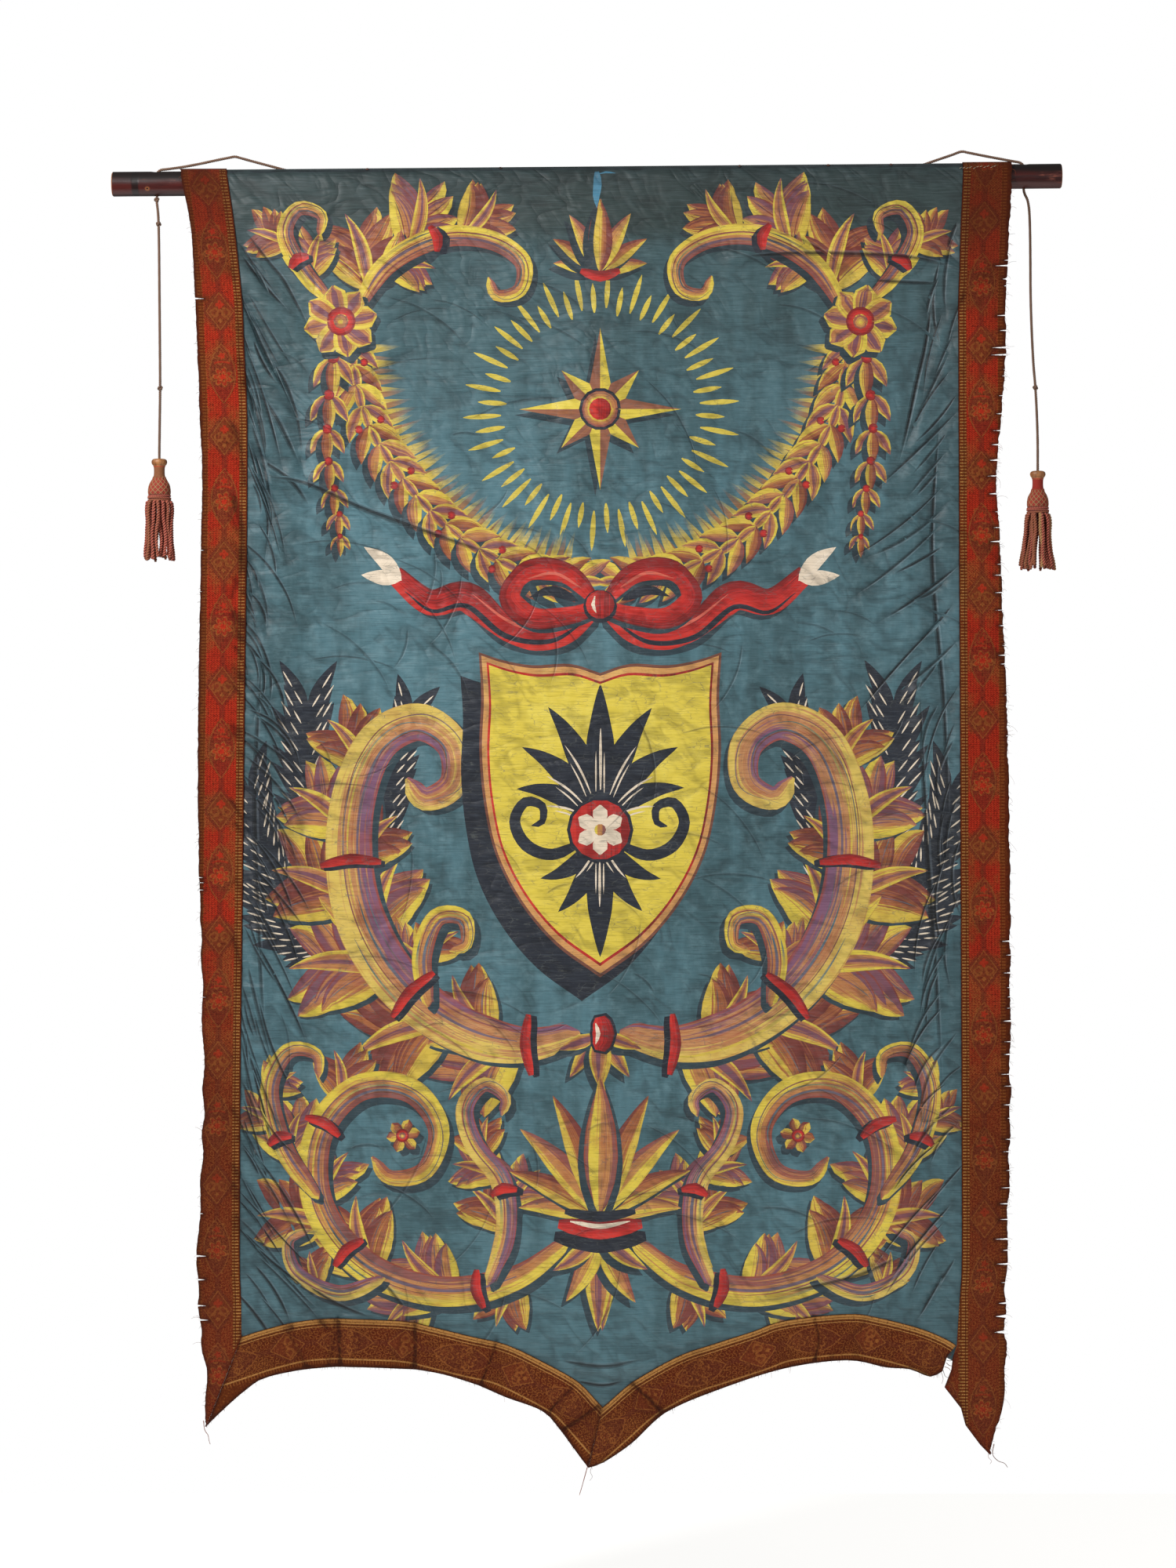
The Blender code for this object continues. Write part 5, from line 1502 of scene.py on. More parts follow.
def ribbon_outlines():
    """The closed outline of each woven border, in the pattern, and the worn edge of each."""
    drawn = random.Random(23)
    corner, tip = in_metres([LEFT_CORNER, LEFT_TIP])
    part = Vector((MITRE_GAP, 0))
    left_top, left_low = band_lines(LEFT_BAND)
    right_top, right_low = band_lines(RIGHT_BAND)
    outer = worn_edge(edge("left_outer") + in_metres(LEFT_TAIL_OUTER), 1, 1.1, drawn)
    slits = sorted(LEFT_SLITS + small_slits(150, 1700, 7, drawn), key=lambda slit: slit.drop)
    left_worn = cut_slits(outer, slits, 1)
    outer = worn_edge(edge("right_outer") + in_metres(RIGHT_TAIL_OUTER), -1, 2.2, drawn)
    slits = RIGHT_SLITS + small_slits(140, 1640, 16, drawn)
    for number in range(44):
        drop = (250 if number < 22 else 1210) + 25 * (number % 22) + drawn.uniform(-4, 4)
        if all(abs(slit.drop - drop) > 8 for slit in slits):
            slits.append(Slit(drop, drawn.uniform(6, 15), drawn.uniform(1.2, 2.8)))
    slits.sort(key=lambda slit: slit.drop)
    right_worn = cut_slits(outer, slits, -1)
    left_inner = edge("left_inner") + [corner - part]
    right_inner = edge("right_inner") + in_metres([RIGHT_CORNER])
    mid_low, mid_top = right_low[0], left_top[-1]
    left_low = [tip + part] + left_low[1:-1] + [mid_low - part * 2]
    left_top = [corner + part] + left_top[1:-1] + [mid_top - part]
    return {
        "ribbon_left": (left_worn + [tip - part] + left_inner[::-1], left_worn),
        "ribbon_right": (right_worn + in_metres(RIGHT_TAIL_INNER) + right_inner[::-1], right_worn),
        "band_left": (left_low + left_top[::-1], left_low),
        "band_right": (right_low + in_metres(BAND_END_TEAR) + right_top[::-1], right_low),
    }


def weave_places(flat, name):
    """How far each point of a border lies from its inner edge, and how far along it, in millimetres."""
    if name.startswith("ribbon"):
        side = name.split("_")[1]
        inner = as_array(edge(f"{side}_inner"))
        off = flat[:, 0] - np.interp(flat[:, 1], inner[:, 1], inner[:, 0])
        past = off * (1 if side == "left" else -1) > 1e-6
        across = np.where(past, np.abs(off) + WEAVE_TURN, np.abs(off))
        return across / MM, (flat[:, 1] + WEAVE_STARTS[side]) / MM
    top, _ = band_lines(LEFT_BAND if name == "band_left" else RIGHT_BAND)
    first, last = (top[0] - top[1]).normalized(), (top[-1] - top[-2]).normalized()
    line = as_array([top[0] + first * WEAVE_REACH, *top, top[-1] + last * WEAVE_REACH])
    side, run, _ = along_line(flat, line)
    return np.abs(side) / MM, (run - WEAVE_REACH) / MM + 30


def small_creases():
    """Sharp creases: those that fan in from the borders, and a scatter across the cloth."""
    drawn = random.Random(11)
    creases = [Fold(-1.9, 2.6, line) for line in TUCKS]
    for number in range(BORDER_CREASES):
        side = 1 if number % 3 == 0 else -1
        drop = 130 + 1620 * (number + drawn.random()) / BORDER_CREASES
        start = side * drawn.uniform(520, 562)
        turn = math.radians(57 + 15 * math.sin(drop / 150 + side) + drawn.gauss(0, 5))
        length = drawn.uniform(50, 200)
        bend = 0.12 + 0.16 * math.sin(drop / 210 + 2 * side) + drawn.gauss(0, 0.06)
        line = [(start, drop)]
        for i in range(3):
            angle = turn + bend * i
            x, d = line[-1]
            line.append((x - side * length / 3 * math.cos(angle), d + length / 3 * math.sin(angle)))
        creases.append(Fold(drawn.choice((-2.0, -1.6, -1.3, 1.5)), drawn.uniform(3.2, 6), line))
    for number in range(LOOSE_CREASES):
        across, drop = drawn.uniform(-500, 500), drawn.uniform(40, 1780)
        low = drop > 260  # near the pole they all run across
        turn = drawn.gauss(0, 0.4 if low else 0.12) + (math.pi / 2 if low and drawn.random() < 0.25 else 0)
        length = drawn.uniform(40, 190)
        line = [
            (across + length * s * math.cos(turn + s * 0.4), drop + length * s * math.sin(turn + s * 0.4))
            for s in (0, 0.35, 0.7, 1)
        ]
        creases.append(Fold(drawn.choice((-0.9, -0.8, -0.7, 0.8)), drawn.uniform(2.8, 5), line))
    return creases


def crease_lines(folds, step):
    """Rows of points beside each fold, to let a net follow it."""
    rows = []
    for fold in folds:
        flat = as_array(smooth_line(in_metres(fold.line), step))
        left = leftward(flat)
        rows += [flat + left * share * fold.width * MM for share in (-1.8, -0.8, 0, 0.8, 1.8)]
    return rows


def seen_edges(marks):
    """The points and edges of the marks' outlines, without those that later marks cover."""
    ends = np.concatenate([np.stack([m.outline, np.roll(m.outline, -1, axis=0)], axis=1) for m in marks])
    owner = np.concatenate([np.full(len(m.outline), i) for i, m in enumerate(marks)])
    spots = [ends[:, 0], ends.mean(axis=1), ends[:, 1]]
    hidden = np.zeros((3, len(owner)), bool)
    for number, mark in enumerate(marks):
        low, high = extent(mark.outline)
        near = np.nonzero((owner < number) & np.all((spots[1] > low) & (spots[1] < high), axis=1))[0]
        for row, places in zip(hidden, spots):
            row[near] |= inside(places[near], mark.outline)
    kept = ends[~hidden.all(axis=0)].reshape(-1, 2)
    points, edges = np.unique(kept, axis=0, return_inverse=True)
    return points, edges.reshape(-1, 2)


def cloth_net(outline, layers, step, folds):
    """A net inside an outline: its points, and its triangles, with layers of marks and folds drawn in."""
    points = list(outline)
    edges = [(i, (i + 1) % len(outline)) for i in range(len(outline))]
    border = as_array(outline)
    for marks in layers:
        corners, pairs = seen_edges(marks)
        edges += (pairs + len(points)).tolist()
        points += [Vector(p) for p in corners]
    taken = as_array(points)
    extra = clear_of(np.concatenate(crease_lines(folds, step * 1.2)), taken, step * 0.3)
    taken = np.concatenate([taken, extra[inside(extra, border)]])
    grid = []
    low, high = extent(border)
    for row, drop in enumerate(np.arange(low[1], high[1], step * math.sqrt(3) / 2)):
        across = np.arange(low[0] + (row % 2) * step / 2, high[0], step)
        grid.append(np.stack([across, np.full(len(across), drop)], axis=1))
    grid = clear_of(np.concatenate(grid), taken, step * 0.45)
    grid = grid[inside(grid, border)]
    rest = np.concatenate([taken[len(points):], grid])
    rest = rest[line_gap(rest, border) > step * 0.3]
    points += [Vector(p) for p in rest]
    found = delaunay_2d_cdt(points, edges, [], 0, 1e-7)
    flat = as_array(found[0])
    triangles = np.array(found[2])
    return flat, triangles[inside(flat[triangles].mean(axis=1), border)]


def rim_line(net):
    """The points round a net's rim, in order."""
    after = dict(rim_edges(net[1]).tolist())
    spots = [next(iter(after))]
    while after[spots[-1]] != spots[0]:
        spots.append(after[spots[-1]])
    return [Vector(p) for p in net[0][spots]]


def clear_of(points, taken, gap):
    """The points that no taken one lies close to."""
    cells = {}
    for p in taken.tolist():
        cells.setdefault((math.floor(p[0] / gap), math.floor(p[1] / gap)), []).append(p)
    keep = []
    for x, y in points.tolist():
        column, row = math.floor(x / gap), math.floor(y / gap)
        near = [q for i in (-1, 0, 1) for j in (-1, 0, 1) for q in cells.get((column + i, row + j), ())]
        keep.append(all((x - q[0]) ** 2 + (y - q[1]) ** 2 > gap * gap for q in near))
    return points[np.array(keep, bool)]


def line_gap(points, border):
    """How far each point lies from a closed line."""
    nearest = np.full(len(points), np.inf)
    for a, b in zip(border, np.roll(border, -1, axis=0)):
        step = b - a
        held = np.clip((points - a) @ step / (step @ step), 0, 1)
        nearest = np.minimum(nearest, np.hypot(*(points - a - held[:, None] * step).T))
    return nearest


def topmost(middles, marks):
    """The number of the highest mark over each point, or -1."""
    top = np.full(len(middles), -1)
    order = np.argsort(middles[:, 1])
    drops = middles[order, 1]
    for number, mark in enumerate(marks):
        low, high = extent(mark.outline)
        first, last = np.searchsorted(drops, (low[1], high[1]))
        near = order[first:last]
        near = near[(middles[near, 0] > low[0]) & (middles[near, 0] < high[0])]
        if len(near) == 0:
            continue
        if mark.widths is None:
            found = inside(middles[near], mark.outline)
        else:
            side, run, past = along_line(middles[near], mark.line)
            found = (np.abs(side) <= np.interp(run, run_along(mark.line), mark.widths)) & ~past
        top[near[found]] = number
    return top


def paint_corners(flat, triangles, marks):
    """What each corner of each triangle needs to know of the mark over it."""
    top = topmost(flat[triangles].mean(axis=1), marks)
    strokes = np.zeros((len(triangles), 3, 3))
    brushes = np.zeros((len(triangles), 3, 3))
    tones = {name: np.zeros((len(triangles), 3, 4)) for name in ("edge", "shade", "body", "light")}
    for number in np.unique(top[top >= 0]):
        mark = marks[number]
        mine = top == number
        corners = flat[triangles[mine]].reshape(-1, 2)
        side, run, past = along_line(corners, mark.line)
        total = run_along(mark.line)
        half = total[-1] / 2 if mark.widths is None else np.maximum(np.interp(run, total, mark.widths), 1e-5)
        across = np.clip(side / half, -1, 1) * mark.side
        strokes[mine] = np.stack([run, across, run / total[-1]], axis=1).reshape(-1, 3, 3)
        paint = PAINTS[mark.paint]
        brushes[mine] = (paint.cover, mark.seed, paint.way)
        for name, values in tones.items():
            values[mine] = colour(getattr(paint, name))
    return strokes, brushes, tones


def trough(points, creases):
    """How deep each point lies in a crease, from 0 to 1."""
    return np.clip(-(raised(points, FOLDS) / 10 + raised(points, creases) / 1.6) / MM, 0, 1)


def crease_marks(folds):
    """The narrow band of each fold that its dark line and its lit side take up."""
    drawn = random.Random(29)
    marks = []
    for fold in folds:
        width = min(11, 4.4 + abs(fold.height) * 1.6) * drawn.uniform(0.75, 1.25)
        strength = 1 if abs(fold.height) > 0.9 else 0.5
        marks.append(stroke(fold.line, width, "dash", "ink", seed=strength * drawn.uniform(0.75, 1)))
    return marks


def in_scene(name, data):
    """A new object in the scene for a mesh, a light or a camera."""
    made = bpy.data.objects.new(name, data)
    bpy.context.scene.collection.objects.link(made)
    return made


def linked(name, places, faces):
    """A new piece from its places and faces."""
    mesh = bpy.data.meshes.new(name)
    mesh.from_pydata(np.asarray(places).tolist(), [], faces)
    return in_scene(name, mesh)


# Geometry of yarn, wood and iron


def directions(line):
    """Two directions across each point of a line, which turn no more than they must."""
    ahead = np.gradient(line, axis=0)
    ahead /= np.linalg.norm(ahead, axis=1)[:, None]
    side = np.cross(ahead[0], (0.31, 0.87, 0.37))
    rows = []
    for way in ahead:
        side = side - way * (side @ way)
        side = side / np.linalg.norm(side)
        rows.append((side, np.cross(way, side)))
    return np.array(rows)


def twisted(line, radius, strands, pitch, sides=10, groove=0.3, seed=0.5):
    """A twisted yarn along a line: places, faces, and at each place its run in millimetres, lobe and seed."""
    line = np.asarray(line, float)
    count = len(line)
    run = run_along(line)
    turn = 2 * math.pi * np.arange(sides) / sides
    lobe = np.abs(np.cos(strands / 2 * turn[None, :])) * np.ones((count, 1))
    around = turn[None, :] + (2 * math.pi * run / pitch)[:, None]
    reach = (np.broadcast_to(radius, count)[:, None]) * (1 - groove + groove * lobe)
    across = directions(line)
    places = line[:, None] + reach[..., None] * (
        np.cos(around)[..., None] * across[:, None, 0] + np.sin(around)[..., None] * across[:, None, 1]
    )
    faces = []
    for i in range(count - 1):
        for j in range(sides):
            k = (j + 1) % sides
            faces.append((i * sides + j, i * sides + k, (i + 1) * sides + k, (i + 1) * sides + j))
    faces.append(tuple(range(sides))[::-1])
    faces.append(tuple(range((count - 1) * sides, count * sides)))
    facts = np.stack([np.repeat(run / MM, sides), lobe.ravel(), np.full(count * sides, seed)], axis=1)
    return places.reshape(-1, 3), faces, facts


def yarn_piece(name, parts, material):
    """One piece from several twisted yarns."""
    places, faces, facts = [], [], []
    shift = 0
    for part_places, part_faces, part_facts in parts:
        places.append(part_places)
        facts.append(part_facts)
        faces += [tuple(corner + shift for corner in face) for face in part_faces]
        shift += len(part_places)
    made = linked(name, np.concatenate(places), faces)
    give(made.data, "twine", "FLOAT_VECTOR", "POINT", np.concatenate(facts))
    made.data.shade_smooth()
    made.data.materials.append(material)
    return made


def turned_piece(name, profile, sides, centre, swell=None):
    """A piece turned round Z from (radius, depth) in millimetres; its corners know their turn and depth."""
    rows = np.array(profile, float)
    turn = 2 * math.pi * np.arange(sides) / sides
    radius = np.repeat(rows[:, :1], sides, axis=1)
    depth = np.repeat(rows[:, 1:], sides, axis=1)
    net = np.zeros_like(radius)
    if swell is not None:
        lift, net = swell(turn[None, :], depth)
        radius = radius + lift
    places = np.stack([radius * np.cos(turn), radius * np.sin(turn), -depth], axis=2).reshape(-1, 3) * MM
    faces, corners = [], []
    for i in range(len(rows) - 1):
        for j in range(sides):
            k = (j + 1) % sides
            faces.append((i * sides + j, (i + 1) * sides + j, (i + 1) * sides + k, i * sides + k))
            for row, column, share in ((i, j, j), (i + 1, j, j), (i + 1, k, j + 1), (i, k, j + 1)):
                corners.append((share / sides, rows[row, 1], net[row, column]))
    faces.append(tuple(range(sides)))
    faces.append(tuple(range((len(rows) - 1) * sides, len(rows) * sides))[::-1])
    for row in (0, len(rows) - 1):
        corners += [(0.5, rows[row, 1], 0.0)] * sides
    made = linked(name, places + np.array(centre), faces)
    give(made.data, "turned", "FLOAT_VECTOR", "CORNER", corners)
    shade(made.data, 40)
    return made


def pole_piece():
    """The round pole: slightly uneven, its ends chamfered, drilled through for the cords."""
    drawn = random.Random(3)
    sides, length, radius = 64, POLE_LENGTH / MM, POLE_RADIUS / MM
    stops = [0, 0, 1.5] + list(np.linspace(8, length - 8, 150)) + [length - 1.5, length, length]
    reaches = [0.0, radius - 1.5] + [radius] * 152 + [radius - 1.5, 0.0]
    bm = bmesh.new()
    start = Vector((POLE_LEFT_END[0], 0, POLE_LEFT_END[1]))
    lie = Matrix.Rotation(math.pi / 2 - math.atan2(POLE_RISE, POLE_LENGTH), 4, "Y")
    dents = [(drawn.uniform(0, length), drawn.uniform(0, 6.28), drawn.uniform(0.15, 0.4)) for _ in range(26)]
    dents = [d for d in dents if d[0] < 95 or d[0] > length - 70]
    rings = []
    for stop, reach in zip(stops, reaches):
        if reach == 0:
            rings.append([bm.verts.new((0, 0, stop * MM))])
            continue
        ring = []
        for i in range(sides):
            turn = 2 * math.pi * i / sides
            worn = 0.1 + 0.1 * math.sin(2 * turn + stop / 170) + 0.06 * math.sin(stop / 23 + 3 * turn)
            for place, angle, deep in dents:
                off = (math.remainder(turn - angle, 2 * math.pi) * radius) ** 2 + (stop - place) ** 2
                worn += deep * math.exp(-off / 30)
            grown = (reach - worn) * MM
            ring.append(bm.verts.new((grown * math.cos(turn), grown * math.sin(turn), stop * MM)))
        rings.append(ring)
    for low, high in zip(rings, rings[1:]):
        for i in range(sides):
            corners = [row[(i + step) % len(row)] for row, step in ((low, 0), (low, 1), (high, 1), (high, 0))]
            bm.faces.new(list(dict.fromkeys(corners)))
    bmesh.ops.transform(bm, matrix=Matrix.Translation(start) @ lie, verts=bm.verts)
    mesh = bpy.data.meshes.new("pole_wood")
    bm.to_mesh(mesh)
    bm.free()
    pole = in_scene("turned_pole", mesh)
    shade(mesh, 35)
    drills = []
    top, flare, mouth = 21.5, 13, 9.5  # half the drill's length, where the hole flares, and its worn mouth
    wide = mouth + 2.5 * (mouth - BORE) / 6
    profile = [(wide, -top), (5.2, -flare - 1.2), (3.5, -flare + 0.8), (BORE, -flare + 3), (BORE, top)]
    for side, across in HOLE_ACROSS.items():
        drill = turned_piece(f"drill_{side}", profile, 28, (across, 0, pole_height(across)))
        cut = pole.modifiers.new(f"hole_{side}", "BOOLEAN")
        cut.operation = "DIFFERENCE"
        cut.object = drill
        drills.append(drill)
    depsgraph = bpy.context.evaluated_depsgraph_get()
    drilled = bpy.data.meshes.new_from_object(pole.evaluated_get(depsgraph))
    pole.modifiers.clear()
    pole.data = drilled
    for drill in drills:
        bpy.data.objects.remove(drill)
    drilled.materials.clear()
    drilled.shade_smooth()
    drilled.set_sharp_from_angle(angle=math.radians(35))
    return pole


def knot_line(centre, way, size):
    """A closed overhand turn round a cord."""
    turn = np.linspace(0, 2 * math.pi, 64)
    reach = size * (0.46 + 0.2 * np.cos(3 * turn))
    rows = [reach * np.cos(2 * turn), reach * np.sin(2 * turn), size * 0.42 * np.sin(3 * turn)]
    return np.stack(rows, axis=1) @ np.array(way.to_track_quat("Z", "Y").to_matrix()).T + np.array(centre)


def cord_line(side):
    """The cord's own line, in metres."""
    return even_line([Vector(p) * MM for p in CORD_ROUTES[side]], 1.4 * MM)


def bell_swell(bell):
    """The net of thin cords wound over a tassel's bell, and how much it lifts the surface in millimetres."""

    def swell(turn, depth):
        top, foot = NET_DEPTHS
        wound = (depth > top) & (depth < foot)
        slope = (depth - top) / (foot - top) * 3.4
        ways = [np.abs(np.mod(6 * turn / math.pi + sign * slope, 1) - 0.5) for sign in (1, -1)]
        line = np.maximum(*[np.clip(1 - way / 0.15, 0, 1) for way in ways])
        net = np.sqrt(line) * wound
        return net * 0.9 * bell / 17, net

    return swell


def tassel_head(tassel, x):
    """The wooden cap, the wound neck and the netted bell, as a profile turned round the cord."""
    bore, cap, bell = CORD_RADIUS / MM + 0.4, tassel.cap_radius, tassel.bell_radius
    corners = [
        (bore, 0.2), (cap * 0.35, 0.1), (cap * 0.72, 0.5), (cap * 0.93, 2.2), (cap, 4.6), (cap * 0.985, 6.8),
        (cap * 0.9, 9), (cap * 0.78, 10.6), (9.2, 11.4), (8.9, 12.4), (8.6, 13.4), (8.3, 15), (8.2, 20),
        (8.5, 25), (9.2, 28), (bell * 0.62, 32), (bell * 0.79, 37), (bell * 0.91, 42), (bell * 0.965, 48),
        (bell * 0.97, 53), (bell * 0.93, 56), (bell * 0.93, 60), (bell * 0.9, 65.5), (bore, 66),
    ]
    profile = [tuple(p) for p in even_line([Vector(c) for c in corners], 0.62)]
    return turned_piece(f"tassel_bell_{tassel.side}", profile, 168, (x, 0, tassel.top * MM), bell_swell(bell))


def collar_rings(tassel, x):
    """The cords wound round the foot of the bell."""
    parts = []
    for depth, reach, seed in ((57.6, 0.2, 0.1), (60.6, 0.9, 0.5), (63.6, 0.4, 0.8)):
        turn = np.linspace(0, 2 * math.pi, 130)
        radius = (tassel.collar_radius - 1.7 + reach * 0.6) * MM
        height = (tassel.top - depth) * MM + 0.5 * MM * np.sin(turn + seed * 9)
        line = np.stack([x + radius * np.cos(turn), radius * np.sin(turn), height], axis=1)
        parts.append(twisted(line, 1.6 * MM, 2, 4.4 * MM, 10, 0.34, seed))
    return parts


def skirt_strands(tassel, x, drawn):
    """The bullions: thick twisted yarns that bulge out from under the collar and hang unevenly."""
    parts = []
    for row, (count, inset) in enumerate(SKIRT_ROWS):
        for number in range(count):
            angle = 2 * math.pi * (number + drawn.uniform(-0.28, 0.28)) / count + row * 0.4
            top = max(tassel.skirt_radius, tassel.collar_radius + 3) - inset + drawn.uniform(-0.8, 0.5)
            hem = tassel.hem_radius - inset * 0.85 + drawn.uniform(-2.4, 0.4)
            end = tassel.hem_drop - (drawn.uniform(0.5, 9) if number % 5 else 0.6) - 1.5 * row
            sway, ripple = drawn.uniform(-6.5, 6.5), drawn.uniform(0, 6)
            shares = np.array([0, 0.01, 0.05, 0.16, 0.33, 0.5, 0.68, 0.85, 1])
            hidden = [tassel.collar_radius - 5 - inset * 0.5, top - 0.8]
            radii = np.concatenate([hidden, top + (hem - top) * shares[2:] ** 1.3])
            radii[2:5] += np.array([0.9, 1.3, 0.5]) * drawn.uniform(0.3, 1) * (row == 0)
            radii[4:7] -= drawn.uniform(0, 1.8)
            drops = np.concatenate([[64.6, 67.2, 71.5], 71.5 + (end - 71.5) * (shares[3:] - 0.05) / 0.95])
            side = sway * np.sin(shares * 2.3) + 1.3 * np.sin(shares * 8 + ripple)
            cosine, sine = math.cos(angle), math.sin(angle)
            line = [
                Vector((r * cosine - a * sine, r * sine + a * cosine, -d))
                for r, a, d in zip(radii, side, drops)
            ]
            line = as_array(even_line(line, 1.1)) * MM + np.array((x, 0, tassel.top * MM))
            thick = drawn.uniform(2.5, 2.95) * MM
            radius = np.full(len(line), thick)
            radius[-3:] = thick * np.array([0.98, 0.86, 0.6])
            parts.append(twisted(line, radius, 2, drawn.uniform(7.4, 9) * MM, 12, 0.44, drawn.random()))
    return parts


def fray(edge_line, stand, outward, count, reach, creases, drawn):
    """Loose threads along a worn edge, each from inside the cloth out and down."""
    flat = as_array(edge_line)
    run = run_along(flat)
    parts = []
    for number in range(count):
        at = drawn.random() * run[-1]
        root = np.array([np.interp(at, run, axis) for axis in flat.T])
        length = drawn.uniform(*reach) * MM * (2.2 if drawn.random() < 0.06 else 1)
        lean = drawn.gauss(0.1, 0.55)
        droop = drawn.uniform(0.1, 0.9)
        shares = np.linspace(-0.25, 1, 6)
        angle = lean + droop * np.maximum(shares, 0)
        steps = [outward * length * shares * np.cos(angle), length * shares * np.sin(angle)]
        points = root + np.stack(steps, axis=1)
        curl = drawn.uniform(-0.35, 0.5) * length * np.maximum(shares, 0) ** 2
        line = hung(points, stand + CLOTH / 2, relief(np.repeat(root[None], 6, axis=0), creases) + curl)
        thick = drawn.uniform(0.16, 0.3) * MM * np.linspace(1, 0.5, 6)
        parts.append(twisted(line, thick, 1, 1, 3, 0, drawn.random()))
    return parts


def loose_thread(points, stand, thick, creases, seed):
    """One long thread that hangs from a torn tip."""
    line = as_array(even_line(in_metres(points), 2 * MM))
    places = hung(line, stand + CLOTH / 2, relief(line, creases))
    return twisted(places, np.linspace(thick, thick * 0.6, len(places)) * MM, 2, 2.4 * MM, 6, 0.25, seed)


# What a user can change


def tint(name, description, code):
    """A colour setting."""
    return FloatVectorProperty(
        name=name, description=description, default=colour(code)[:3], subtype="COLOR", size=3, min=0, max=1
    )


def metres(name, description, default, low=0):
    """A length setting."""
    return FloatProperty(name=name, description=description, default=default, min=low, unit="LENGTH")


def amount(name, description, default):
    """A plain number that is never negative."""
    return FloatProperty(name=name, description=description, default=default, min=0)


class ClothSettings(bpy.types.PropertyGroup):
    """The painted cloth."""

    teal: tint("Teal", "Colour of the cloth", "4a6d76")
    teal_deep: tint("Deep Teal", "The cloth where less light has bleached it", "365258")
    teal_worn: tint("Worn Teal", "The cloth where it is rubbed", "66868d")
    # A darker tone over the upper part of the cloth, its soiled top band and its stain
    teal_top: tint("Soiled Top", "The cloth near the pole", "27322f")
    # Painted shade, multiplied into the creases, crinkles and weft, and laid near the cut edges and at the
    # fold over the pole
    crease_shade: tint("Crease", "Depth of the creases, laid over the colours", "20272b")
    # Painted highlight on the lit side of the creases and along the weft
    glint: tint("Glint", "Lit side of the creases, laid over the colours", "3c444a")
    crack: tint("Crack", "Fine cracks in the paint", "574a3c")
    grid: metres("Net", "Spacing of the cloth's net", 11 * MM, 4 * MM)


class BorderSettings(bpy.types.PropertyGroup):
    """The woven borders."""

    red: tint("Red", "Ground of the side borders", "93391f")
    bright_red: tint("Bright Red", "Flowers of the side borders", "bc2c1a")
    dark_red: tint("Dark Red", "Dots of the ground", "54160b")
    rust: tint("Rust", "Faded ground", "77361b")
    hem: tint("Hem", "Ground of the bottom borders", "532813")
    mauve: tint("Mauve", "Round the lozenges and vases", "58261c")
    ochre: tint("Ochre", "Outlines of the ornament", "a0622e")
    gold: tint("Gold", "Picots and lines", "d29c56")
    border: tint("Border", "Ground of the edges", "5c2a0e")
    # Dark sewn edge, also painted as shadow along the inner edge and as shade in the creases
    seam: tint("Seam", "Dark sewn edge", "2c1710")
    # Dirt and wear, and painted shade in the creases
    soil: tint("Soil", "Dirt and wear", "3c160c")
    grid: metres("Net", "Spacing of the borders' net", 7 * MM, 3 * MM)


class PoleSettings(bpy.types.PropertyGroup):
    """The pole and the tacks."""

    lacquer: tint("Lacquer", "Dark red finish of the pole", "43130f")
    lacquer_dark: tint("Dark Lacquer", "The finish along its grain", "2a0c0b")
    # Painted shade over the pole's upper half and in its pit, and grime on the worn collar
    grime_and_shade: tint("Grime", "Soiled top and worn collar", "0b0605")
    scuff: tint("Scuff", "Rubbed spots", "8a4a38")
    bare_wood: tint("Bare Wood", "Where the finish is gone", "a5683a")
    iron: tint("Iron", "Tack heads", "3a3634")
    iron_rust: tint("Rust", "Rust on the tack heads", "5a2f1c")


class CordSettings(bpy.types.PropertyGroup):
    """The cords and the tassels."""

    cord: tint("Cord", "Strands of the cord", "80614e")
    # Painted shade in the cord's grooves
    cord_dark: tint("Cord Groove", "Between the strands", "422f23")
    cord_soil: tint("Cord Soil", "Handled parts of the cord", "60493b")
    cap: tint("Cap", "Wooden cap of a tassel", "a8703f")
    cap_dark: tint("Cap Grain", "Grain of the cap", "74431f")
    neck: tint("Neck", "Wound neck of the left tassel", "8d5634")
    neck_red: tint("Red Neck", "Wound neck of the right tassel", "a8220f")
    bell_red: tint("Bell", "Red under the net", "98301a")
    bell_dark: tint("Bell Shade", "Worn red under the net", "741c0e")
    net: tint("Net", "Thin cords over the bell", "8c6440")
    skirt: tint("Bullion", "Strands of the skirt", "ab5846")
    # Painted shade in the skirt's grooves and on the bell's foot under its collar
    skirt_shade: tint("Bullion Groove", "Between the strands", "561f17")
    skirt_soil: tint("Bullion Soil", "Dusty brown of the skirt", "824e32")
    gold_strand: tint("Gold Strand", "The odd strand of the right skirt", "a27c50")
    soil: tint("Soil", "Handled parts", "4a2c1e")


class StageSettings(bpy.types.PropertyGroup):
    """The floor, the lights and the camera."""

    floor_drop: metres("Floor", "How far the floor lies below the origin", 2.3)
    floor_colour: tint("Floor Colour", "Colour of the floor", "f8f7f5")
    sky: amount("Sky", "Strength of the even light from all round", 0.3)
    backdrop: amount("Backdrop", "How bright the studio looks behind", 1.0)
    key: amount("Key Light", "Power of the main light in watts", 140)
    fill: amount("Fill Light", "Power of the second light in watts", 26)


class Tones:
    """A settings group's colours with their alpha."""

    def __init__(self, group):
        for key in group.bl_rna.properties.keys():
            value = getattr(group, key)
            if hasattr(value, "__len__") and not isinstance(value, str) and len(value) == 3:
                setattr(self, key, (*value, 1.0))


# The pieces, one operator each


def banner_folds():
    """All the folds and creases of the cloth."""
    creases = small_creases()
    return creases, FOLDS + creases


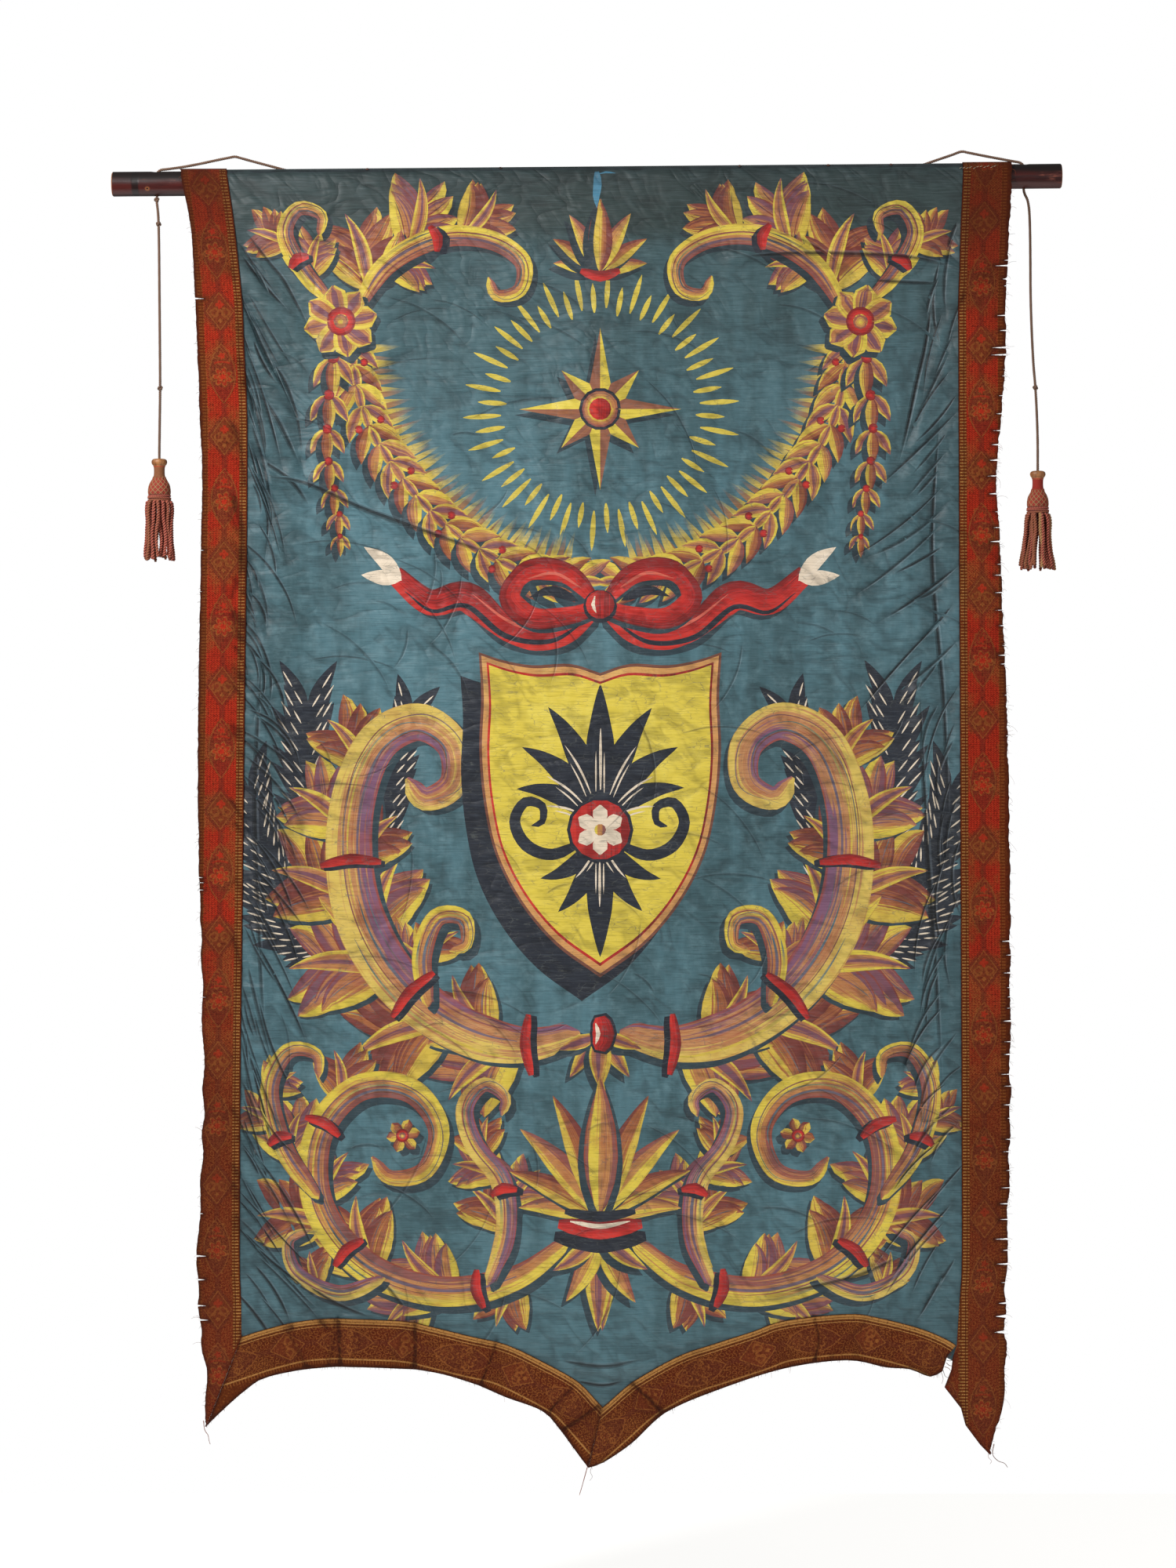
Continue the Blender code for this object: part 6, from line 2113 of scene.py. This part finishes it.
def panel_layout(low, high):
    """Where a panel point lies on the bake map: the front over three quarters, the back beside it."""

    def layout(corners, side):
        share = (corners - low) / (high - low)
        across = share[..., 0] * 0.735 + 0.002 if side == 0 else share[..., 0] * 0.255 + 0.742
        return np.stack([across, 0.02 + 0.978 * (1 - share[..., 1])], axis=-1)

    return layout


class BANNER_OT_panel(bpy.types.Operator):
    """Makes the painted cloth"""

    bl_idname = "banner.panel"
    bl_label = "Painted Cloth"

    def execute(self, context):
        settings = context.scene.banner_cloth
        creases, folds = banner_folds()
        marks, lines = painted_marks(), crease_marks(folds)
        outline = panel_outline()
        front = cloth_net(outline, [marks, lines], settings.grid, folds)
        back = cloth_net(rim_line(front), [], settings.grid * 1.3, folds)
        panel = solid_sheet("painted_cloth", front, back, PANEL_STAND, creases)
        mesh = panel.data
        low, high = extent(outline)
        bake_map(mesh, front[0][front[1]], back[0][back[1]], panel_layout(low, high))
        strokes, brushes, tones = paint_corners(*front, marks)
        # Where the painted crease shade lines and their painted highlights lie
        bands, depths, _ = paint_corners(*front, lines)
        facts = {"stroke": strokes, "brush": brushes}
        facts.update({f"paint_{name}": values for name, values in tones.items()})
        depth = depths[..., 0] * depths[..., 1]
        facts["fold_line"] = np.stack([bands[..., 1], bands[..., 2], depth], axis=-1)
        others = len(mesh.loops) - len(strokes) * 3
        for name, values in facts.items():
            size = values.shape[-1]
            rows = np.concatenate([values.reshape(-1, size), np.zeros((others, size))])
            give(mesh, name, "FLOAT_COLOR" if size == 4 else "FLOAT_VECTOR", "CORNER", rows)
        border = as_array(outline)
        # How deep in a crease each point lies, for the painted crease shade, and a darkening towards the cut
        # edges
        troughs = np.concatenate([trough(flat, creases) for flat, _ in (front, back)])
        dirt = np.concatenate([np.exp(-line_gap(flat, border) / EDGE_DARK_REACH) for flat, _ in (front, back)])
        give(mesh, "wear", "FLOAT_VECTOR", "POINT", np.stack([troughs, dirt, np.zeros_like(dirt)], axis=1))
        shade(mesh)
        mesh.materials.append(painted_cloth_material(Tones(settings)))
        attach(panel, BODY)
        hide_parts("panel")
        outline_area(outline)
        return {"FINISHED"}


def border_layout(name, flat_low):
    """Where a border point lies on the bake map: in four rows, wide for the front, narrow for the back."""
    count = 4

    def layout(corners, side):
        across, run = weave_places(corners.reshape(-1, 2), name)
        across, run = across.reshape(-1, 3), run.reshape(-1, 3)
        low, high = flat_low
        length = (high - low) / count
        row = np.clip(((run.mean(axis=1) - low) / length).astype(int), 0, count - 1)[:, None]
        up = (run - low - row * length + 12) / (length + 24)
        wide, start = (0.198, 0.0) if side == 0 else (0.048, 0.8)
        pitch = 0.2 if side == 0 else 0.05
        place = start + row * pitch + 0.001 + wide * np.clip(across / 112, 0, 1)
        return np.stack([place, 0.02 + 0.978 * np.clip(up, 0, 1)], axis=-1)

    return layout


class BANNER_OT_borders(bpy.types.Operator):
    """Makes the woven borders and their loose threads"""

    bl_idname = "banner.borders"
    bl_label = "Woven Borders"

    def execute(self, context):
        settings = context.scene.banner_border
        tones = Tones(settings)
        drawn = random.Random(31)
        creases, folds = banner_folds()
        side_weave = galloon_material("side_galloon", tones, False)
        hem_weave = galloon_material("hem_galloon", tones, True)
        threads = thread_material(tones)
        for node, (outline, worn) in ribbon_outlines().items():
            net = cloth_net(outline, [], settings.grid, folds)
            torn = {"ribbon_right": RIGHT_TAIL_INNER, "band_right": BAND_END_TEAR}.get(node, [])
            frayed = as_array(worn + in_metres(torn))
            outward = {"ribbon_left": -1, "ribbon_right": 1}.get(node, 0)
            piece = solid_sheet(f"galloon_{node}", net, net, RIBBON_STAND, creases, edge_curl(frayed))
            mesh = piece.data
            across, run = weave_places(net[0], node)
            bake_map(mesh, net[0][net[1]], net[0][net[1]], border_layout(node, (run.min(), run.max())))
            # Wear along the frayed edge, and how deep in a crease each point lies, for the painted crease
            # shade
            wear = np.exp(-open_gap(net[0], frayed) / (5 * MM)) * 0.9 + trough(net[0], creases) * 0.7
            rows = np.stack([across, run, np.clip(wear, 0, 1)], axis=1)
            give(mesh, "weave", "FLOAT_VECTOR", "POINT", np.concatenate([rows, rows]))
            shade(mesh)
            mesh.materials.append(side_weave if outward else hem_weave)
            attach(piece, BODY)
            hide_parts(node)
            parts = self.threads(node, worn, outward, creases, drawn)
            loose = yarn_piece(f"threads_{node}", parts, threads)
            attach(loose, BODY)
            low, high = extent(outline)
            facts = dict(flat=tuple(high - low), held="hung", area=outline_area(outline), with_pieces=[loose])
        return {"FINISHED"}

    def threads(self, node, worn, outward, creases, drawn):
        """The loose threads of one border."""
        lean, count, reach = FRAYS[outward]
        parts = fray(worn, RIBBON_STAND, lean, count, reach, creases, drawn)
        for points, thick in TIP_THREADS[node]:
            parts.append(loose_thread(points, RIBBON_STAND, thick, creases, drawn.random()))
        return parts


def open_gap(points, line):
    """How far each point lies from an open line."""
    return np.abs(along_line(points, line)[0])


def edge_curl(frayed):
    """How far a border's worn edge curls forward at each pattern point."""

    def curl(points):
        wave = np.sin(points[:, 1] * 61 + points[:, 0] * 37) + 0.6 * np.sin(points[:, 1] * 143 + 1)
        return (1.1 + wave) * MM * np.exp(-open_gap(points, frayed) / (11 * MM)) * 0.8

    return curl


def stitch_parts(creases, drawn):
    """The pale stitches across the top of the right border."""
    parts = []
    for number in range(11):
        across = 610 - 53 * number / 10
        drop = 22 + drawn.uniform(-1.5, 1.5) + number * 0.3
        line = as_array(in_metres([(across, drop), (across - 2.1, drop + 1.6), (across - 4.0, drop + 2.4)]))
        places = hung(line, RIBBON_STAND + CLOTH, relief(line, creases) + np.array([0, 0.35, 0]) * MM)
        parts.append(twisted(places, 0.38 * MM, 2, 1.6 * MM, 6, 0.2, 0.9))
    return parts


class BANNER_OT_stitches(bpy.types.Operator):
    """Makes the pale stitches over the right border's top"""

    bl_idname = "banner.stitches"
    bl_label = "Stitches"

    def execute(self, context):
        white = twine_material("stitch_thread", colour("a89a86"), colour("e6ddcc"), colour("9c8a70"), 6)
        piece = yarn_piece("stitches", stitch_parts(small_creases(), random.Random(8)), white)
        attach(piece, BODY)
        return {"FINISHED"}


class BANNER_OT_pole(bpy.types.Operator):
    """Makes the pole and finishes the tacks"""

    bl_idname = "banner.pole"
    bl_label = "Pole and Tacks"

    def execute(self, context):
        tones = Tones(context.scene.banner_pole)
        pole = pole_piece()
        pole.data.materials.append(pole_material(tones))
        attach(pole, BODY)
        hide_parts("pole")
        iron = tack_material(tones)
        for name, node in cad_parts.items():
            if name.startswith("tack_"):
                node.material_slots[0].material = iron
        return {"FINISHED"}


class BANNER_OT_cords(bpy.types.Operator):
    """Makes the cords, their knots and the tassels"""

    bl_idname = "banner.cords"
    bl_label = "Cords and Tassels"

    def execute(self, context):
        tones = Tones(context.scene.banner_cord)
        drawn = random.Random(17)
        twine = twine_material("cord_twine", tones.cord_dark, tones.cord, tones.cord_soil, 5)
        for tassel in TASSELS:
            side = tassel.side
            line = cord_line(side)
            path = [tuple(p) for p in line]
            strands = twisted(path, CORD_RADIUS, 3, 9 * MM, 12, 0.26)
            cord = yarn_piece(f"twisted_cord_{side}", [strands], twine)
            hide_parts(f"cord_{side}")
            knots = self.knots(side, line, twine)
            x = line[-1].x
            head = tassel_head(tassel, x)
            neck = (tones.cap_dark, tones.neck) if side == "left" else (tones.bell_dark, tones.neck_red)
            head.data.materials.append(tassel_head_material(f"tassel_head_{side}", tones, neck))
            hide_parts(f"tassel_head_{side}")
            odd = tones.gold_strand if side == "right" else None
            yarn = twine_material(f"bullion_{side}", tones.skirt_shade, tones.skirt, tones.skirt_soil, 3, odd)
            parts = collar_rings(tassel, x) + skirt_strands(tassel, x, drawn)
            skirt = yarn_piece(f"bullions_{side}", parts, yarn)
            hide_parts(f"tassel_skirt_{side}")
            for piece in (cord, knots, head, skirt):
                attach(piece, BODY)
            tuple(path[0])
        return {"FINISHED"}

    def knots(self, side, line, twine):
        """One cord's knots as a joined piece."""
        turns, names = [], []
        for knot in (knot for knot in KNOTS if knot.side == side):
            low = next(i for i, p in enumerate(line) if p.z < knot.height * MM)
            way = (line[low - 1] - line[low]).normalized()
            turns.append((knot_line(line[low], way, 4.5 * MM), 1.7 * MM))
            names.append(knot.name)
        across = END_KNOT_ACROSS[side] * MM
        reach = POLE_RADIUS + GAP + END_KNOT_REACH
        out = Vector((0, -math.cos(END_KNOT_ANGLE), math.sin(END_KNOT_ANGLE))) * reach
        centre = Vector((across, 0, pole_height(across))) + out
        turns.append((knot_line(centre, Vector((1, 0, 0.1)), 4.1 * MM), 1.55 * MM))
        names.append(f"knot_{side}_end")
        parts = [twisted(turn, thick, 3, KNOT_PITCH, 10, 0.26) for turn, thick in turns]
        piece = yarn_piece(f"knots_{side}", parts, twine)
        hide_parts(*names)
        return piece


class BANNER_OT_stage(bpy.types.Operator):
    """Makes the floor, the lights and the camera"""

    bl_idname = "banner.stage"
    bl_label = "Stage"

    def execute(self, context):
        settings = context.scene.banner_stage
        scene = context.scene
        scene.view_settings.view_transform = "Standard"
        camera_data = bpy.data.cameras.new("camera")
        camera_data.lens = CAMERA_LENS
        camera_data.sensor_fit = "VERTICAL"
        camera_data.sensor_height = 36
        camera = in_scene("camera", camera_data)
        camera.location = CAMERA_PLACE
        camera.rotation_euler = (math.pi / 2, 0, 0)
        scene.camera = camera

        bm = bmesh.new()
        bmesh.ops.create_grid(bm, x_segments=12, y_segments=12, size=FLOOR_REACH)
        mesh = bpy.data.meshes.new("floor")
        bm.to_mesh(mesh)
        bm.free()
        floor = in_scene("floor", mesh)
        floor.location = (0, 0, -settings.floor_drop)
        s = Shading("floor")
        tone = s.mix(s.noise(s.place(), 3.0, 3) * 0.1, (*settings.floor_colour, 1), (0.86, 0.86, 0.84, 1))
        paint = s.finish(Base_Color=tone, Roughness=0.9, Emission_Color=tone, Emission_Strength=FLOOR_GLOW)
        mesh.materials.append(paint)
        self.studio(settings, scene)
        for name, (place, size) in LAMPS.items():
            lamp = bpy.data.lights.new(name, "AREA")
            lamp.shape = "DISK"
            lamp.size = size
            lamp.energy = getattr(settings, name)
            light = in_scene(name, lamp)
            light.location = place
            aim = Vector(LAMP_AIM) - Vector(place)
            light.rotation_euler = aim.to_track_quat("-Z", "Y").to_euler()
        return {"FINISHED"}

    def studio(self, settings, scene):
        """A white studio: bright behind the object, softer as a light."""
        world = bpy.data.worlds.new("studio")
        world.use_nodes = True
        tree = world.node_tree
        tree.nodes.clear()
        seen, lit = (tree.nodes.new("ShaderNodeBackground") for _ in range(2))
        seen.inputs["Strength"].default_value = settings.backdrop
        lit.inputs["Strength"].default_value = settings.sky
        for background in (seen, lit):
            background.inputs["Color"].default_value = (1, 1, 1, 1)
        paths, choice = tree.nodes.new("ShaderNodeLightPath"), tree.nodes.new("ShaderNodeMixShader")
        out = tree.nodes.new("ShaderNodeOutputWorld")
        tree.links.new(paths.outputs["Is Camera Ray"], choice.inputs[0])
        tree.links.new(lit.outputs[0], choice.inputs[1])
        tree.links.new(seen.outputs[0], choice.inputs[2])
        tree.links.new(choice.outputs[0], out.inputs["Surface"])
        scene.world = world


SETTINGS = {
    "banner_cloth": ClothSettings, "banner_border": BorderSettings, "banner_pole": PoleSettings,
    "banner_cord": CordSettings, "banner_stage": StageSettings,
}
OPERATORS = [
    BANNER_OT_stage, BANNER_OT_cords, BANNER_OT_pole, BANNER_OT_panel, BANNER_OT_borders, BANNER_OT_stitches,
]


class BANNER_PT_sidebar(bpy.types.Panel):
    """The banner's pieces and their settings"""

    bl_idname = "BANNER_PT_sidebar"
    bl_label = "Painted Banner"
    bl_space_type = "VIEW_3D"
    bl_region_type = "UI"
    bl_category = "Banner"

    def draw(self, context):
        for operator in OPERATORS:
            self.layout.operator(operator.bl_idname)
        for name, group in SETTINGS.items():
            box = self.layout.box()
            box.label(text=group.__doc__)
            for key in group.__annotations__:
                box.prop(getattr(context.scene, name), key)


def register():
    for group in [*SETTINGS.values(), *OPERATORS, BANNER_PT_sidebar]:
        bpy.utils.register_class(group)
    for name, group in SETTINGS.items():
        setattr(bpy.types.Scene, name, PointerProperty(type=group))


def unregister():
    for name in SETTINGS:
        delattr(bpy.types.Scene, name)
    for group in [BANNER_PT_sidebar, *reversed(OPERATORS), *SETTINGS.values()]:
        bpy.utils.unregister_class(group)


def main():
    register()
    for operator in OPERATORS:
        group, name = operator.bl_idname.split(".")
        getattr(getattr(bpy.ops, group), name)()


if __name__ == "__main__":
    main()
